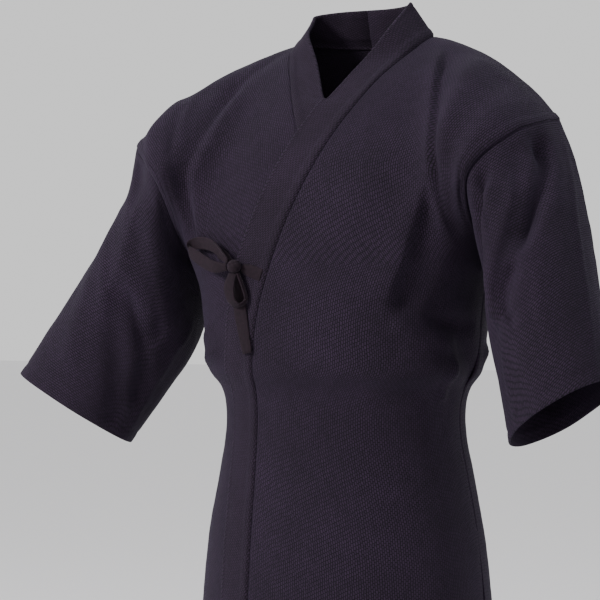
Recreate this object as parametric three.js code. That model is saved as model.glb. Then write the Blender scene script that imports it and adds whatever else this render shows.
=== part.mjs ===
// A kendo jacket as it is worn: thick quilted cotton, wrapped left over right and tied with a bow.
// Millimetres. X is to the wearer's left, Y to the back, Z up.
// The origin is in the middle of the neck opening, level with the shoulder lines at the neck.
import * as THREE from "three";

const WALL = 2.4; // one layer of quilted cotton
const COLLAR_WALL = 4; // the collar is folded double
const COLLAR_PROUD = 0.8; // how far the collar stands above the panel it is sewn to
const COLLAR_WIDTH = 42;
const SEAM_GAP = 0.3;
const OVERLAP_LIFT = 6.6; // the left front over the right one
const ARMPIT_DROP = 262; // drops are measured down from the shoulder at the neck
const SLIT_DROP = 560;
const HEM_DROP = 780;
const SLIT_SPREAD = 0.035; // share of a quarter round, at the hem
const SHOULDER_HALF = 255; // from the centre to the dropped armhole seam, level
const NECK_HALF = 84;
const BACK_NECK = 0.2; // share of the way from the shoulder line to the armpit level
const NECK_FREE_HALF = 62; // the collar's free edge, half its width at the sides of the neck
const NECK_FREE_SIDE = 46; // how far behind the X axis it is at the sides of the neck
const NECK_FREE_BACK = 64;
const NECK_FREE_TOP = { left: 38, middle: 32, right: 26 };
const RIGHT_SHOULDER_SAG = 16; // the right shoulder is a little lower than the left
const FRONT_SLOPE = 1.35; // over 1, a face falls steeply before it swells from the shoulder line
const BACK_SLOPE = 1.1;
const SEAM_PULL_FROM = 0.3; // share of the way across, past which a face bends to its armhole seam
const SEAM_PULL = 1.2;

const TIE_WIDTH = 13;
const TIE_WALL = 1.6;

// The body below the armpits: half its width, its depths from the X axis, and how square it is.
const BODY_SECTIONS = [
  { drop: 262, half: 181, front: 122, back: 118, square: 2.5 },
  { drop: 290, half: 171, front: 123, back: 114, square: 2.4 },
  { drop: 318, half: 167, front: 123, back: 111, square: 2.4 },
  { drop: 350, half: 165, front: 123, back: 108, square: 2.3 },
  { drop: 384, half: 160, front: 120, back: 103, square: 2.3 },
  { drop: 403, half: 147, front: 111, back: 97, square: 2.2 },
  { drop: 426, half: 141, front: 106, back: 94, square: 2.2 },
  { drop: 458, half: 142, front: 105, back: 96, square: 2.2 },
  { drop: 500, half: 150, front: 107, back: 104, square: 2.2 },
  { drop: 570, half: 163, front: 113, back: 116, square: 2.2 },
  { drop: 660, half: 172, front: 118, back: 123, square: 2.2 },
  { drop: 780, half: 179, front: 122, back: 127, square: 2.2 },
];

// The line along the top of a shoulder.
const SHOULDER_LINE = [
  { out: 0, y: 62, drop: -3 },
  { out: 84, y: 60, drop: 0 },
  { out: 148, y: 42, drop: 20 },
  { out: 191, y: 33, drop: 45 },
  { out: 229, y: 23, drop: 76 },
  { out: 255, y: 12, drop: 102 },
];

// The armhole seam, once round from the top of the shoulder by way of the front.
const ARMHOLE = [
  { turn: 0, out: 255, y: 12, drop: 102 },
  { turn: 0.08, out: 250, y: -34, drop: 107 },
  { turn: 0.16, out: 232, y: -74, drop: 119 },
  { turn: 0.25, out: 202, y: -100, drop: 147 },
  { turn: 0.32, out: 186, y: -102, drop: 174 },
  { turn: 0.41, out: 181, y: -62, drop: 228 },
  { turn: 0.5, out: 181, y: 0, drop: 262 },
  { turn: 0.6, out: 186, y: 60, drop: 236 },
  { turn: 0.75, out: 208, y: 88, drop: 172 },
  { turn: 0.88, out: 238, y: 62, drop: 122 },
  { turn: 1, out: 255, y: 12, drop: 102 },
];

// Each cuff is an oval: its middle, the half axis to the pressed outer crease, and the one to the front.
const CUFFS = {
  left: {
    middle: new THREE.Vector3(296, -95, -421),
    crease: new THREE.Vector3(56, 15, 33),
    front: new THREE.Vector3(17, -60, 20),
  },
  right: {
    middle: new THREE.Vector3(-330, -46, -433),
    crease: new THREE.Vector3(-60, -27, 41),
    front: new THREE.Vector3(21, -48, 0),
  },
};

// How a sleeve differs, along it, from a straight run between armhole and cuff: how far it bows out,
// how much fuller it is, and how far its crest and its underarm stand off that run.
const SLEEVE_SHAPES = {
  left: [
    { along: 0, bow: 0, full: 0, crest: 0, under: 0 },
    { along: 0.2, bow: 5, full: 0.05, crest: 0, under: 0 },
    { along: 0.42, bow: 2, full: 0.09, crest: 0, under: 2 },
    { along: 0.7, bow: 1, full: 0.04, crest: 0, under: 2 },
    { along: 1, bow: 0, full: 0, crest: 0, under: 0 },
  ],
  right: [
    { along: 0, bow: 0, full: 0, crest: 0, under: 0 },
    { along: 0.2, bow: 2, full: 0, crest: -22, under: 16 },
    { along: 0.42, bow: 0, full: 0, crest: -14, under: 25 },
    { along: 0.7, bow: 0, full: 0, crest: -6, under: 14 },
    { along: 1, bow: 0, full: 0, crest: 0, under: 0 },
  ],
};

// The seam of the left collar: how far across it lies at each drop.
const COLLAR_SEAM = [
  { drop: 0, x: 84 },
  { drop: 17, x: 78 },
  { drop: 34, x: 68 },
  { drop: 57, x: 54 },
  { drop: 80, x: 42 },
  { drop: 115, x: 24 },
  { drop: 150, x: 8 },
  { drop: 198, x: -12 },
  { drop: 254, x: -33 },
  { drop: 310, x: -51 },
  { drop: 355, x: -59 },
  { drop: 420, x: -63 },
  { drop: 780, x: -74 },
];

// The collar's free edge beside the neck, by the drop of the seam point that it stands on.
const NECK_EDGE = [
  { drop: 0, x: 62, y: 46, z: 38 },
  { drop: 17, x: 53, y: 8, z: 8 },
  { drop: 34, x: 30, y: -18, z: -33 },
  { drop: 57, x: 9, y: -48, z: -69 },
  { drop: 84, x: -7, y: -67, z: -92 },
  { drop: 120, x: -22, y: -84, z: -110 },
];
const NECK_EDGE_ENDS = { from: 57, to: 105 };

// Folds of the body: a line from one place to another, its half width and its height, troughs negative.
// Across is -1 at the right armhole and 1 at the left. Down is 1 level with the armpits, 2 at the hem.
const BODY_FOLDS = [
  { face: "front", across1: 0.78, down1: 0.2, across2: 0.84, down2: 1.0, width: 16, height: -9 },
  { face: "front", across1: 0.66, down1: 0.16, across2: 0.7, down2: 0.85, width: 15, height: 5 },
  { face: "front", across1: 0.66, down1: 1.1, across2: 0.97, down2: 1.24, width: 16, height: -6 },
  { face: "front", across1: -0.62, down1: 0.32, across2: -0.93, down2: 0.9, width: 16, height: -7 },
  { face: "front", across1: -0.8, down1: 0.2, across2: -0.96, down2: 0.5, width: 13, height: 5 },
  { face: "front", across1: 0.5, down1: 1.19, across2: 0.9, down2: 1.25, width: 12, height: 4 },
  { face: "front", across1: -0.55, down1: 1.2, across2: -0.9, down2: 1.24, width: 12, height: 4 },
  { face: "back", across1: 0.5, down1: 0.55, across2: 0.9, down2: 1.0, width: 20, height: -6 },
  { face: "back", across1: -0.5, down1: 0.5, across2: -0.88, down2: 1.0, width: 20, height: -6 },
  { face: "back", across1: 0.25, down1: 1.1, across2: 0.4, down2: 1.3, width: 16, height: 5 },
  { face: "back", across1: -0.3, down1: 1.05, across2: -0.45, down2: 1.3, width: 16, height: 5 },
];

// Folds of the sleeves, placed by turn round the sleeve and share of the way along it.
const SLEEVE_FOLDS = {
  left: [
    { turn1: 0.17, along1: 0.08, turn2: 0.3, along2: 0.5, width: 15, height: -6 },
    { turn1: 0.33, along1: 0.12, turn2: 0.38, along2: 0.55, width: 13, height: -6 },
    { turn1: 0.27, along1: 0.12, turn2: 0.36, along2: 0.5, width: 11, height: 4 },
    { turn1: 0.62, along1: 0.1, turn2: 0.72, along2: 0.6, width: 16, height: -6 },
    { turn1: 0.85, along1: 0.1, turn2: 0.8, along2: 0.5, width: 16, height: -4 },
  ],
  right: [
    { turn1: 0.2, along1: 0.06, turn2: 0.37, along2: 0.5, width: 15, height: -9 },
    { turn1: 0.27, along1: 0.5, turn2: 0.36, along2: 0.92, width: 15, height: -6 },
    { turn1: 0.12, along1: 0.25, turn2: 0.2, along2: 0.8, width: 16, height: 4 },
    { turn1: 0.62, along1: 0.1, turn2: 0.7, along2: 0.7, width: 16, height: -6 },
    { turn1: 0.85, along1: 0.1, turn2: 0.8, along2: 0.6, width: 16, height: -4 },
  ],
};

// The knot of the bow, half its width, depth and height, and where it lies on the collar's free edge.
const KNOT = { x: -78, y: -132, z: -265, halfX: 8.5, halfY: 7, halfZ: 8 };

// Stretches of the ties. Each row is a place on the middle of the ribbon, the way its face looks,
// and how wide it is there, as a share of the ribbon's width.
const RIBBONS = {
  tie_left: [
    { x: -70.6, y: -127.6, z: -267, faceX: 0, faceY: -1, faceZ: 0, wide: 0.6 },
    { x: -60, y: -128, z: -270, faceX: -0.1, faceY: -1, faceZ: 0, wide: 0.95 },
    { x: -46, y: -129.2, z: -275, faceX: -0.08, faceY: -1, faceZ: 0, wide: 1 },
  ],
  tie_right: [
    { x: -84.4, y: -127.9, z: -260.8, faceX: -0.3, faceY: -0.95, faceZ: 0, wide: 0.5 },
    { x: -96, y: -117.5, z: -255, faceX: -0.4, faceY: -0.9, faceZ: 0, wide: 0.8 },
    { x: -110, y: -107.3, z: -250, faceX: -0.36, faceY: -0.93, faceZ: 0, wide: 0.9 },
  ],
  bow_loop: [
    { x: -87.2, y: -132.5, z: -266, faceX: -0.3, faceY: -0.9, faceZ: -0.3, wide: 0.55 },
    { x: -108, y: -127, z: -265, faceX: -0.35, faceY: -0.93, faceZ: -0.1, wide: 0.95 },
    { x: -136, y: -112, z: -254, faceX: -0.45, faceY: -0.9, faceZ: 0, wide: 1 },
    { x: -151, y: -101, z: -246, faceX: -1, faceY: -0.2, faceZ: 0, wide: 0.95 },
    { x: -139, y: -102.5, z: -239, faceX: 0.45, faceY: 0.9, faceZ: 0, wide: 0.95 },
    { x: -112, y: -118, z: -242, faceX: 0.4, faceY: 0.93, faceZ: 0.1, wide: 0.9 },
    { x: -85.5, y: -133, z: -258.5, faceX: 0.2, faceY: 0.9, faceZ: 0.4, wide: 0.5 },
  ],
  bow_hanging_loop: [
    { x: -79.5, y: -134, z: -272.9, faceX: -0.2, faceY: -1, faceZ: 0, wide: 0.7 },
    { x: -82, y: -137.5, z: -288, faceX: -0.2, faceY: -1, faceZ: 0, wide: 0.95 },
    { x: -79.5, y: -136.5, z: -303, faceX: -0.3, faceY: -0.8, faceZ: -0.4, wide: 0.9 },
    { x: -71, y: -133, z: -309, faceX: 0.3, faceY: -0.3, faceZ: -0.9, wide: 0.7 },
    { x: -63.5, y: -130.5, z: -302, faceX: 0.95, faceY: 0.1, faceZ: -0.3, wide: 0.35 },
    { x: -67, y: -130.5, z: -288, faceX: 0.95, faceY: 0.2, faceZ: 0, wide: 0.3 },
    { x: -73.5, y: -131, z: -272.5, faceX: 0.9, faceY: 0.3, faceZ: 0, wide: 0.3 },
  ],
  bow_tail: [
    { x: -79, y: -126.8, z: -272.2, faceX: -0.15, faceY: -1, faceZ: 0, wide: 0.6 },
    { x: -76.5, y: -126, z: -290, faceX: -0.15, faceY: -1, faceZ: 0, wide: 0.9 },
    { x: -73, y: -126.4, z: -318, faceX: -0.15, faceY: -1, faceZ: 0, wide: 1.15 },
    { x: -64.5, y: -127, z: -362, faceX: -0.15, faceY: -1, faceZ: 0, wide: 0.85 },
  ],
};
const RIBBON_STEPS = 6; // pieces between two rows

// Rows of the walls: shares of the way from the shoulder to the armpit, then drops down to the hem.
const SHOULDER_ROWS = [
  0, 0.06, 0.12, 0.17, BACK_NECK, 0.27, 0.35, 0.43, 0.52, 0.61, 0.7, 0.79, 0.87, 0.94, 1,
];
const LOWER_ROWS = [
  284, 308, 332, 354, 372, 386, 398, 411, 428, 450, 478, 518, 560, 612, 668, 724, HEM_DROP,
];
const BODY_COLUMNS = 14;
const SLEEVE_ROWS = [0, 0.06, 0.14, 0.24, 0.35, 0.46, 0.58, 0.7, 0.82, 0.92, 1];
const COLLAR_COLUMNS = 3;

const clamp = (value, low, high) => Math.min(Math.max(value, low), high);

function ease(from, to, value) {
  const share = clamp((value - from) / (to - from), 0, 1);
  return share * share * (3 - 2 * share);
}

// Every column of a table at a place between its rows, on smooth curves through them.
function between(table, key, place) {
  const last = table.length - 1;
  let row = 0;
  while (row < last - 1 && table[row + 1][key] < place) row++;
  const [before, low, high, after] = [row - 1, row, row + 1, row + 2].map((k) => table[clamp(k, 0, last)]);
  const span = high[key] - low[key];
  const share = clamp((place - low[key]) / span, 0, 1);
  const square = share * share;
  const cube = square * share;
  const found = {};
  for (const name of Object.keys(low)) {
    if (typeof low[name] !== "number") continue;
    const lowSlope = ((high[name] - before[name]) / (high[key] - before[key])) * span;
    const highSlope = ((after[name] - low[name]) / (after[key] - low[key])) * span;
    found[name] =
      low[name] * (2 * cube - 3 * square + 1) +
      high[name] * (3 * square - 2 * cube) +
      lowSlope * (cube - 2 * square + share) +
      highSlope * (cube - square);
  }
  return found;
}

function armholePoint(side, turn) {
  const at = between(ARMHOLE, "turn", turn);
  return new THREE.Vector3(side * at.out, at.y, -at.drop - sag(side, 1, 1 - Math.abs(1 - 2 * turn)));
}

function sag(side, out, down) {
  return side < 0 ? RIGHT_SHOULDER_SAG * ease(0, 1, out) * (1 - ease(0, 1, down)) : 0;
}

// A point of the body's section at a drop. Turn is 0 at the centre line and 1 at the side.
function sectionPoint(face, across, drop) {
  const size = between(BODY_SECTIONS, "drop", drop);
  const angle = (Math.abs(across) * Math.PI) / 2;
  const power = 2 / size.square;
  const depth = face === "front" ? -size.front : size.back;
  return new THREE.Vector3(
    Math.sign(across) * size.half * Math.sin(angle) ** power,
    depth * Math.max(Math.cos(angle), 0) ** power,
    -drop,
  );
}

// The smooth body, without folds. Down is 0 on the shoulder line, 1 at the armpits and 2 at the hem.
function smoothBody(face, across, down) {
  if (down >= 1) return sectionPoint(face, across, ARMPIT_DROP + (down - 1) * (HEM_DROP - ARMPIT_DROP));
  const out = Math.abs(across);
  const side = Math.sign(across) || 1;
  const forward = Math.sin((down * Math.PI) / 2) ** (face === "front" ? FRONT_SLOPE : BACK_SLOPE);
  const fall = 1 - Math.cos((down * Math.PI) / 2);
  const column = (share) => {
    const top = between(SHOULDER_LINE, "out", share * SHOULDER_HALF);
    const foot = sectionPoint(face, share, ARMPIT_DROP);
    return new THREE.Vector3(
      top.out + (foot.x - top.out) * down,
      top.y + (foot.y - top.y) * forward,
      -top.drop + (foot.z + top.drop) * fall,
    );
  };
  const seam = armholePoint(1, face === "front" ? down / 2 : 1 - down / 2);
  const pull = ease(SEAM_PULL_FROM, 1, out) ** SEAM_PULL;
  const point = column(out).addScaledVector(seam.sub(column(1)), pull);
  point.x *= side;
  point.z -= sag(side, out, down);
  return point;
}

function smoothSleeve(side, turn, along) {
  const cuff = side > 0 ? CUFFS.left : CUFFS.right;
  const angle = 2 * Math.PI * turn;
  const end = cuff.middle
    .clone()
    .addScaledVector(cuff.crease, Math.cos(angle))
    .addScaledVector(cuff.front, Math.sin(angle));
  const start = armholePoint(side, turn);
  const middle = armholeMiddle(side).lerp(cuff.middle, along);
  const shape = between(SLEEVE_SHAPES[side > 0 ? "left" : "right"], "along", along);
  const point = start.lerp(end, along).sub(middle).multiplyScalar(1 + shape.full).add(middle);
  point.x += side * shape.bow;
  const crease = cuff.crease.clone().normalize();
  point.addScaledVector(crease, shape.crest * Math.max(Math.cos(angle), 0));
  point.addScaledVector(crease, shape.under * Math.min(Math.cos(angle), 0));
  return point;
}

function armholeMiddle(side) {
  return armholePoint(side, 0)
    .add(armholePoint(side, 0.25))
    .add(armholePoint(side, 0.5))
    .add(armholePoint(side, 0.75))
    .multiplyScalar(0.25);
}

// Folds as lines in space: three points, a direction out of the cloth, a half width and a height.
function foldLine(place, ends, width, height, sign) {
  const [start, middle, end] = [0, 0.5, 1].map((share) => place(...ends(share)));
  const [one, two] = ends(0.5);
  const small = 0.01;
  const outward = place(one + small, two)
    .sub(place(one - small, two))
    .cross(place(one, two + small).sub(place(one, two - small)))
    .normalize()
    .multiplyScalar(sign);
  return { start, middle, end, outward, width, height };
}

const mix = (low, high, share) => low + (high - low) * share;

const bodyFolds = BODY_FOLDS.map((row) => ({
  face: row.face,
  ...foldLine(
    (across, down) => smoothBody(row.face, across, down),
    (share) => [mix(row.across1, row.across2, share), mix(row.down1, row.down2, share)],
    row.width,
    row.height,
    row.face === "front" ? -1 : 1,
  ),
}));

const sleeveFolds = (side) =>
  SLEEVE_FOLDS[side > 0 ? "left" : "right"].map((row) =>
    foldLine(
      (turn, along) => smoothSleeve(side, turn, along),
      (share) => [mix(row.turn1, row.turn2, share), mix(row.along1, row.along2, share)],
      row.width,
      row.height,
      side,
    ),
  );
const leftSleeveFolds = sleeveFolds(1);
const rightSleeveFolds = sleeveFolds(-1);

// How far one fold moves a point: a bell across the fold, fading at its ends.
function foldShift(fold, point) {
  let best = Infinity;
  for (const [from, to] of [
    [fold.start, fold.middle],
    [fold.middle, fold.end],
  ]) {
    const run = to.clone().sub(from);
    const share = clamp(point.clone().sub(from).dot(run) / run.lengthSq(), 0, 1);
    best = Math.min(best, point.distanceTo(from.clone().addScaledVector(run, share)));
  }
  return fold.height * Math.exp(-((best / fold.width) ** 2));
}

function addFolds(point, folds, share) {
  if (share <= 0) return point;
  const start = point.clone();
  for (const fold of folds) point.addScaledVector(fold.outward, foldShift(fold, start) * share);
  return point;
}

// A panel has its own folds, and near the armhole its neighbour's too, so that the seam stays shut.
function foldedPoint(smooth, ownFolds, otherFolds, otherShare) {
  const point = addFolds(smooth.clone(), ownFolds, 1);
  const shift = addFolds(smooth.clone(), otherFolds, otherShare).sub(smooth);
  return point.add(shift);
}

const foldsOfFace = (face) => bodyFolds.filter((fold) => fold.face === face);

function bodyPoint(face, across, down) {
  const nearSleeve = ease(0.75, 1, Math.abs(across)) * (down < 1 ? 1 : 0);
  const folds = across > 0 ? leftSleeveFolds : rightSleeveFolds;
  return foldedPoint(smoothBody(face, across, down), foldsOfFace(face), folds, nearSleeve);
}

function sleevePoint(side, turn, along) {
  const nearBody = 1 - ease(0, 0.3, along);
  const own = side > 0 ? leftSleeveFolds : rightSleeveFolds;
  const folds = foldsOfFace(turn <= 0.5 ? "front" : "back");
  return foldedPoint(smoothSleeve(side, turn, along), own, folds, nearBody);
}

// The collar seam: the place across at which a row of the left front meets it.
function collarAcross(face, down) {
  const neck = NECK_HALF / SHOULDER_HALF;
  if (face === "back") return down < BACK_NECK ? neck * Math.sqrt(1 - (down / BACK_NECK) ** 2) : 0;
  let [low, high] = [-0.9, 0.6];
  for (let step = 0; step < 40; step++) {
    const across = (low + high) / 2;
    const point = smoothBody("front", across, down);
    if (point.x < between(COLLAR_SEAM, "drop", -point.z).x) low = across;
    else high = across;
  }
  return (low + high) / 2;
}

// The place across a row of the front face that lies at x, found by halving.
function acrossAt(x, down) {
  let [low, high] = [-0.95, 0.95];
  for (let step = 0; step < 24; step++) {
    const across = (low + high) / 2;
    if (smoothBody("front", across, down).x < x) low = across;
    else high = across;
  }
  return (low + high) / 2;
}

// The place on the front face under a point seen from straight ahead.
function frontAt(x, z) {
  const highest = 0.02;
  let down = 1;
  let across = 0;
  for (let step = 0; step < 16; step++) {
    across = acrossAt(x, down);
    const point = smoothBody("front", across, down);
    down = clamp(down + (point.z - z) / (HEM_DROP - ARMPIT_DROP), highest, 2);
  }
  return { across, down };
}

// The left front lies over the right one. The lift grows down from the neck and fades to the side.
const LIFT_TOP = 5;
const LIFT_FULL = 55;
function lift(side, across, point) {
  if (side < 0) return 0;
  return OVERLAP_LIFT * ease(LIFT_TOP, LIFT_FULL, -point.z) * (1 - ease(0.6, 0.9, across));
}

const forwardDirection = new THREE.Vector3(0, -1, 0);

// A row's place down the panel, its face, and its drop when it is below the armpit.
const armpitShare = (drop) => 1 + (drop - ARMPIT_DROP) / (HEM_DROP - ARMPIT_DROP);
const frontRows = [...SHOULDER_ROWS, ...LOWER_ROWS.map(armpitShare)];
const ROWS = [
  ...[...frontRows].reverse().map((down) => ({ face: "front", down })),
  ...frontRows.slice(1).map((down) => ({ face: "back", down })),
];

// Points of one body half, row by row from the front hem over the shoulder to the back hem.
function bodyGrid(side) {
  return ROWS.map(({ face, down }) => {
    const seam = collarAcross(face, down);
    const drop = ARMPIT_DROP + (down - 1) * (HEM_DROP - ARMPIT_DROP);
    const edge = 1 - SLIT_SPREAD * ease(SLIT_DROP, HEM_DROP, drop);
    return Array.from({ length: BODY_COLUMNS + 1 }, (_, column) => {
      const across = mix(seam, edge, column / BODY_COLUMNS);
      const point = bodyPoint(face, side * across, down);
      if (face === "front") point.addScaledVector(forwardDirection, lift(side, across, point));
      return point;
    });
  });
}

function sleeveGrid(side) {
  const frontTurns = SHOULDER_ROWS.map((down) => down / 2);
  const backTurns = [...frontTurns].reverse().slice(1, -1).map((turn) => 1 - turn);
  const turns = [...frontTurns, ...backTurns];
  return SLEEVE_ROWS.map((along) => turns.map((turn) => sleevePoint(side, turn, along)));
}

// Points of one collar half, from the hem to the centre back, across from the seam to the free edge.
function collarGrid(side, body) {
  const rows = ROWS.filter((row) => row.face === "front" || row.down <= BACK_NECK + 1e-6);
  return rows.map(({ face, down }, index) => {
    const seam = body[index][0];
    const flat = (x, y, z) => new THREE.Vector3(side * x, y, z);
    if (face === "back" || down === 0) {
      const angle = Math.acos(clamp(collarAcross("back", down) / (NECK_HALF / SHOULDER_HALF), 0, 1));
      const free = flat(
        NECK_FREE_HALF * Math.cos(angle),
        mix(NECK_FREE_SIDE, NECK_FREE_BACK, Math.sin(angle)),
        mix(side > 0 ? NECK_FREE_TOP.left : NECK_FREE_TOP.right, NECK_FREE_TOP.middle, Math.sin(angle)),
      );
      return spread(seam, free);
    }
    const drop = -seam.z;
    const onPanel = alongPanel(side, seam, drop);
    const edge = between(NECK_EDGE, "drop", drop);
    if (side < 0) edge.z -= (NECK_FREE_TOP.left - NECK_FREE_TOP.right) * (1 - ease(0, 34, drop));
    const free = flat(edge.x, edge.y, edge.z);
    free.addScaledVector(forwardDirection, lift(side, 0, free));
    const beside = spread(seam, free);
    const share = ease(NECK_EDGE_ENDS.from, NECK_EDGE_ENDS.to, drop);
    return beside.map((point, column) => point.lerp(onPanel[column], share));
  });
}

function spread(from, to) {
  return Array.from({ length: COLLAR_COLUMNS + 1 }, (_, column) =>
    from.clone().lerp(to, column / COLLAR_COLUMNS),
  );
}

// Points square to the collar seam, laid on the front panel, a collar's width in all.
function alongPanel(side, seam, drop) {
  const step = COLLAR_WIDTH / COLLAR_COLUMNS;
  const run = 5;
  const slope = between(COLLAR_SEAM, "drop", drop + run).x - between(COLLAR_SEAM, "drop", drop - run).x;
  const square = new THREE.Vector2(-2 * run, -slope).normalize();
  const bottomed = drop > HEM_DROP - 1;
  const points = [seam.clone()];
  let place = new THREE.Vector2(seam.x * side, seam.z);
  for (let column = 1; column <= COLLAR_COLUMNS; column++) {
    let reach = step;
    let point = null;
    for (let trial = 0; trial < 4; trial++) {
      const target = place.clone().addScaledVector(square, reach);
      if (bottomed) target.y = seam.z;
      const { across, down } = frontAt(target.x, target.y);
      point = bodyPoint("front", side * across, down);
      point.addScaledVector(forwardDirection, lift(side, across, point));
      reach *= step / Math.max(point.distanceTo(points[column - 1]), 1);
    }
    points.push(point);
    place = new THREE.Vector2(point.x * side, point.z);
  }
  return points;
}

// The outward direction of a grid of points at one of them.
function outwardAt(grid, row, column, wrap, sign) {
  const rows = grid.length;
  const columns = grid[0].length;
  const up = grid[Math.min(row + 1, rows - 1)][column].clone().sub(grid[Math.max(row - 1, 0)][column]);
  const next = wrap ? (column + 1) % columns : Math.min(column + 1, columns - 1);
  const last = wrap ? (column + columns - 1) % columns : Math.max(column - 1, 0);
  const across = grid[row][next].clone().sub(grid[row][last]);
  return up.cross(across).normalize().multiplyScalar(sign);
}

const outwards = (grid, wrap, sign) =>
  grid.map((line, row) => line.map((_, column) => outwardAt(grid, row, column, wrap, sign)));

// Where two sheets meet: the direction from one to the other, and the shared direction outward.
function seamFrame(tangent, intoFirst, intoSecond, sign) {
  const along = tangent.clone().normalize();
  const level = (vector) => vector.clone().addScaledVector(along, -vector.dot(along)).normalize();
  const across = level(level(intoSecond).sub(level(intoFirst)));
  return { across, outward: along.cross(across).multiplyScalar(sign) };
}

// A closed wall between a grid of outer points and the same grid moved inwards.
function wallMesh(name, outer, normals, thickness, wrap, colour) {
  const rows = outer.length;
  const columns = outer[0].length;
  const positions = [];
  outer.forEach((line) => line.forEach((point) => positions.push(...point.toArray())));
  outer.forEach((line, row) =>
    line.forEach((point, column) => {
      positions.push(...point.clone().addScaledVector(normals[row][column], -thickness).toArray());
    }),
  );
  const place = (layer, row, column) => layer * rows * columns + row * columns + (column % columns);
  const index = [];
  const quad = (a, b, c, d) => index.push(a, b, c, a, c, d);
  const lastColumn = wrap ? columns : columns - 1;
  for (let row = 0; row < rows - 1; row++) {
    for (let column = 0; column < lastColumn; column++) {
      const corners = [
        [row, column],
        [row + 1, column],
        [row + 1, column + 1],
        [row, column + 1],
      ];
      quad(...corners.map(([r, c]) => place(0, r, c)));
      quad(...corners.reverse().map(([r, c]) => place(1, r, c)));
    }
  }
  const rim = (cells) => {
    for (let step = 0; step < cells.length - 1; step++) {
      const [a, b] = [cells[step], cells[step + 1]];
      quad(place(0, ...b), place(0, ...a), place(1, ...a), place(1, ...b));
    }
  };
  const line = (count, cell) => Array.from({ length: count }, (_, step) => cell(step));
  const width = wrap ? columns + 1 : columns;
  rim(line(width, (step) => [rows - 1, step]));
  rim(line(width, (step) => [0, width - 1 - step]));
  if (!wrap) {
    rim(line(rows, (step) => [step, 0]));
    rim(line(rows, (step) => [rows - 1 - step, columns - 1]));
  }
  return closedMesh(name, positions, index, colour);
}

function closedMesh(name, positions, index, colour) {
  const corner = (k) => new THREE.Vector3().fromArray(positions, 3 * k);
  let volume = 0;
  for (let k = 0; k < index.length; k += 3) {
    volume += corner(index[k]).dot(corner(index[k + 1]).cross(corner(index[k + 2])));
  }
  if (volume < 0) index.reverse();
  const geometry = new THREE.BufferGeometry();
  geometry.setAttribute("position", new THREE.Float32BufferAttribute(positions, 3));
  geometry.setIndex(index);
  geometry.computeVertexNormals();
  const material = new THREE.MeshStandardMaterial({ color: colour, roughness: 0.9, metalness: 0 });
  const mesh = new THREE.Mesh(geometry, material);
  mesh.name = name;
  return mesh;
}

const QUILTED_INDIGO = 0x2b2433;
const TIE_INDIGO = 0x372a35;
const jacket = new THREE.Group();
jacket.name = "kendo_jacket";

const ridgeRow = frontRows.length - 1;
const armpitRow = LOWER_ROWS.length;
const shoulderSteps = SHOULDER_ROWS.length - 1;

// One side of the jacket: its body half, sleeve and collar half, parted along their seams.
function addSide(side) {
  const word = side > 0 ? "left" : "right";
  const body = bodyGrid(side);
  const sleeve = sleeveGrid(side);
  const collar = collarGrid(side, body);
  const bodyOut = outwards(body, false, -side);
  const sleeveOut = outwards(sleeve, true, -side);
  const collarOut = outwards(collar, false, side);
  const bodyStart = body.map((line) => line[0].clone());
  const bodyEdge = body.map((line) => line[BODY_COLUMNS].clone());

  partArmhole(side, body, bodyOut, bodyEdge, sleeve, sleeveOut);
  partSideSeam(side, body, bodyOut);
  partCollar(side, body, bodyOut, bodyStart, collar, collarOut);
  partCentreBack(side, body, bodyOut, collar, collarOut);
  collar.forEach((line, row) =>
    line.forEach((point, column) => point.addScaledVector(collarOut[row][column], COLLAR_PROUD)),
  );
  jacket.add(wallMesh("body_" + word, body, bodyOut, WALL, false, QUILTED_INDIGO));
  jacket.add(wallMesh("sleeve_" + word, sleeve, sleeveOut, WALL, true, QUILTED_INDIGO));
  jacket.add(wallMesh("collar_" + word, collar, collarOut, COLLAR_WALL, false, QUILTED_INDIGO));
}

// Sleeve and body share each point of the armhole, and are drawn apart by the seam gap.
function partArmhole(side, body, bodyOut, bodyEdge, sleeve, sleeveOut) {
  const around = sleeve[0].length;
  const ring = sleeve[0].map((point) => point.clone());
  const frames = ring.map((point, column) => {
    const row = column <= shoulderSteps ? ridgeRow - column : ridgeRow + around - column;
    const tangent = ring[(column + 1) % around].clone().sub(ring[(column + around - 1) % around]);
    const lower = column <= shoulderSteps ? row - 1 : row + 1;
    const intoBody = body[row][BODY_COLUMNS - 1].clone().add(body[lower][BODY_COLUMNS - 1]);
    intoBody.addScaledVector(bodyEdge[row], -2);
    const intoSleeve = sleeve[1][column].clone().sub(point);
    return { row, ...seamFrame(tangent, intoBody, intoSleeve, side) };
  });
  frames.forEach(({ row, across, outward }, column) => {
    sleeve[0][column].addScaledVector(across, SEAM_GAP / 2);
    sleeveOut[0][column] = outward.clone();
    body[row][BODY_COLUMNS].addScaledVector(across, -SEAM_GAP / 2);
    bodyOut[row][BODY_COLUMNS] = outward.clone();
    if (column === shoulderSteps) {
      const other = ridgeRow + shoulderSteps;
      body[other][BODY_COLUMNS].addScaledVector(across, -SEAM_GAP / 2);
      bodyOut[other][BODY_COLUMNS] = outward.clone();
    }
  });
}

function partSideSeam(side, body, bodyOut) {
  body.forEach((line, row) => {
    const front = row <= armpitRow;
    const back = row >= ridgeRow + shoulderSteps;
    if (!front && !back) return;
    line[BODY_COLUMNS].y += front ? -SEAM_GAP / 2 : SEAM_GAP / 2;
    const atArmpit = row === armpitRow || row === ridgeRow + shoulderSteps;
    if (!atArmpit) bodyOut[row][BODY_COLUMNS] = new THREE.Vector3(side, 0, 0);
  });
}

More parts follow.
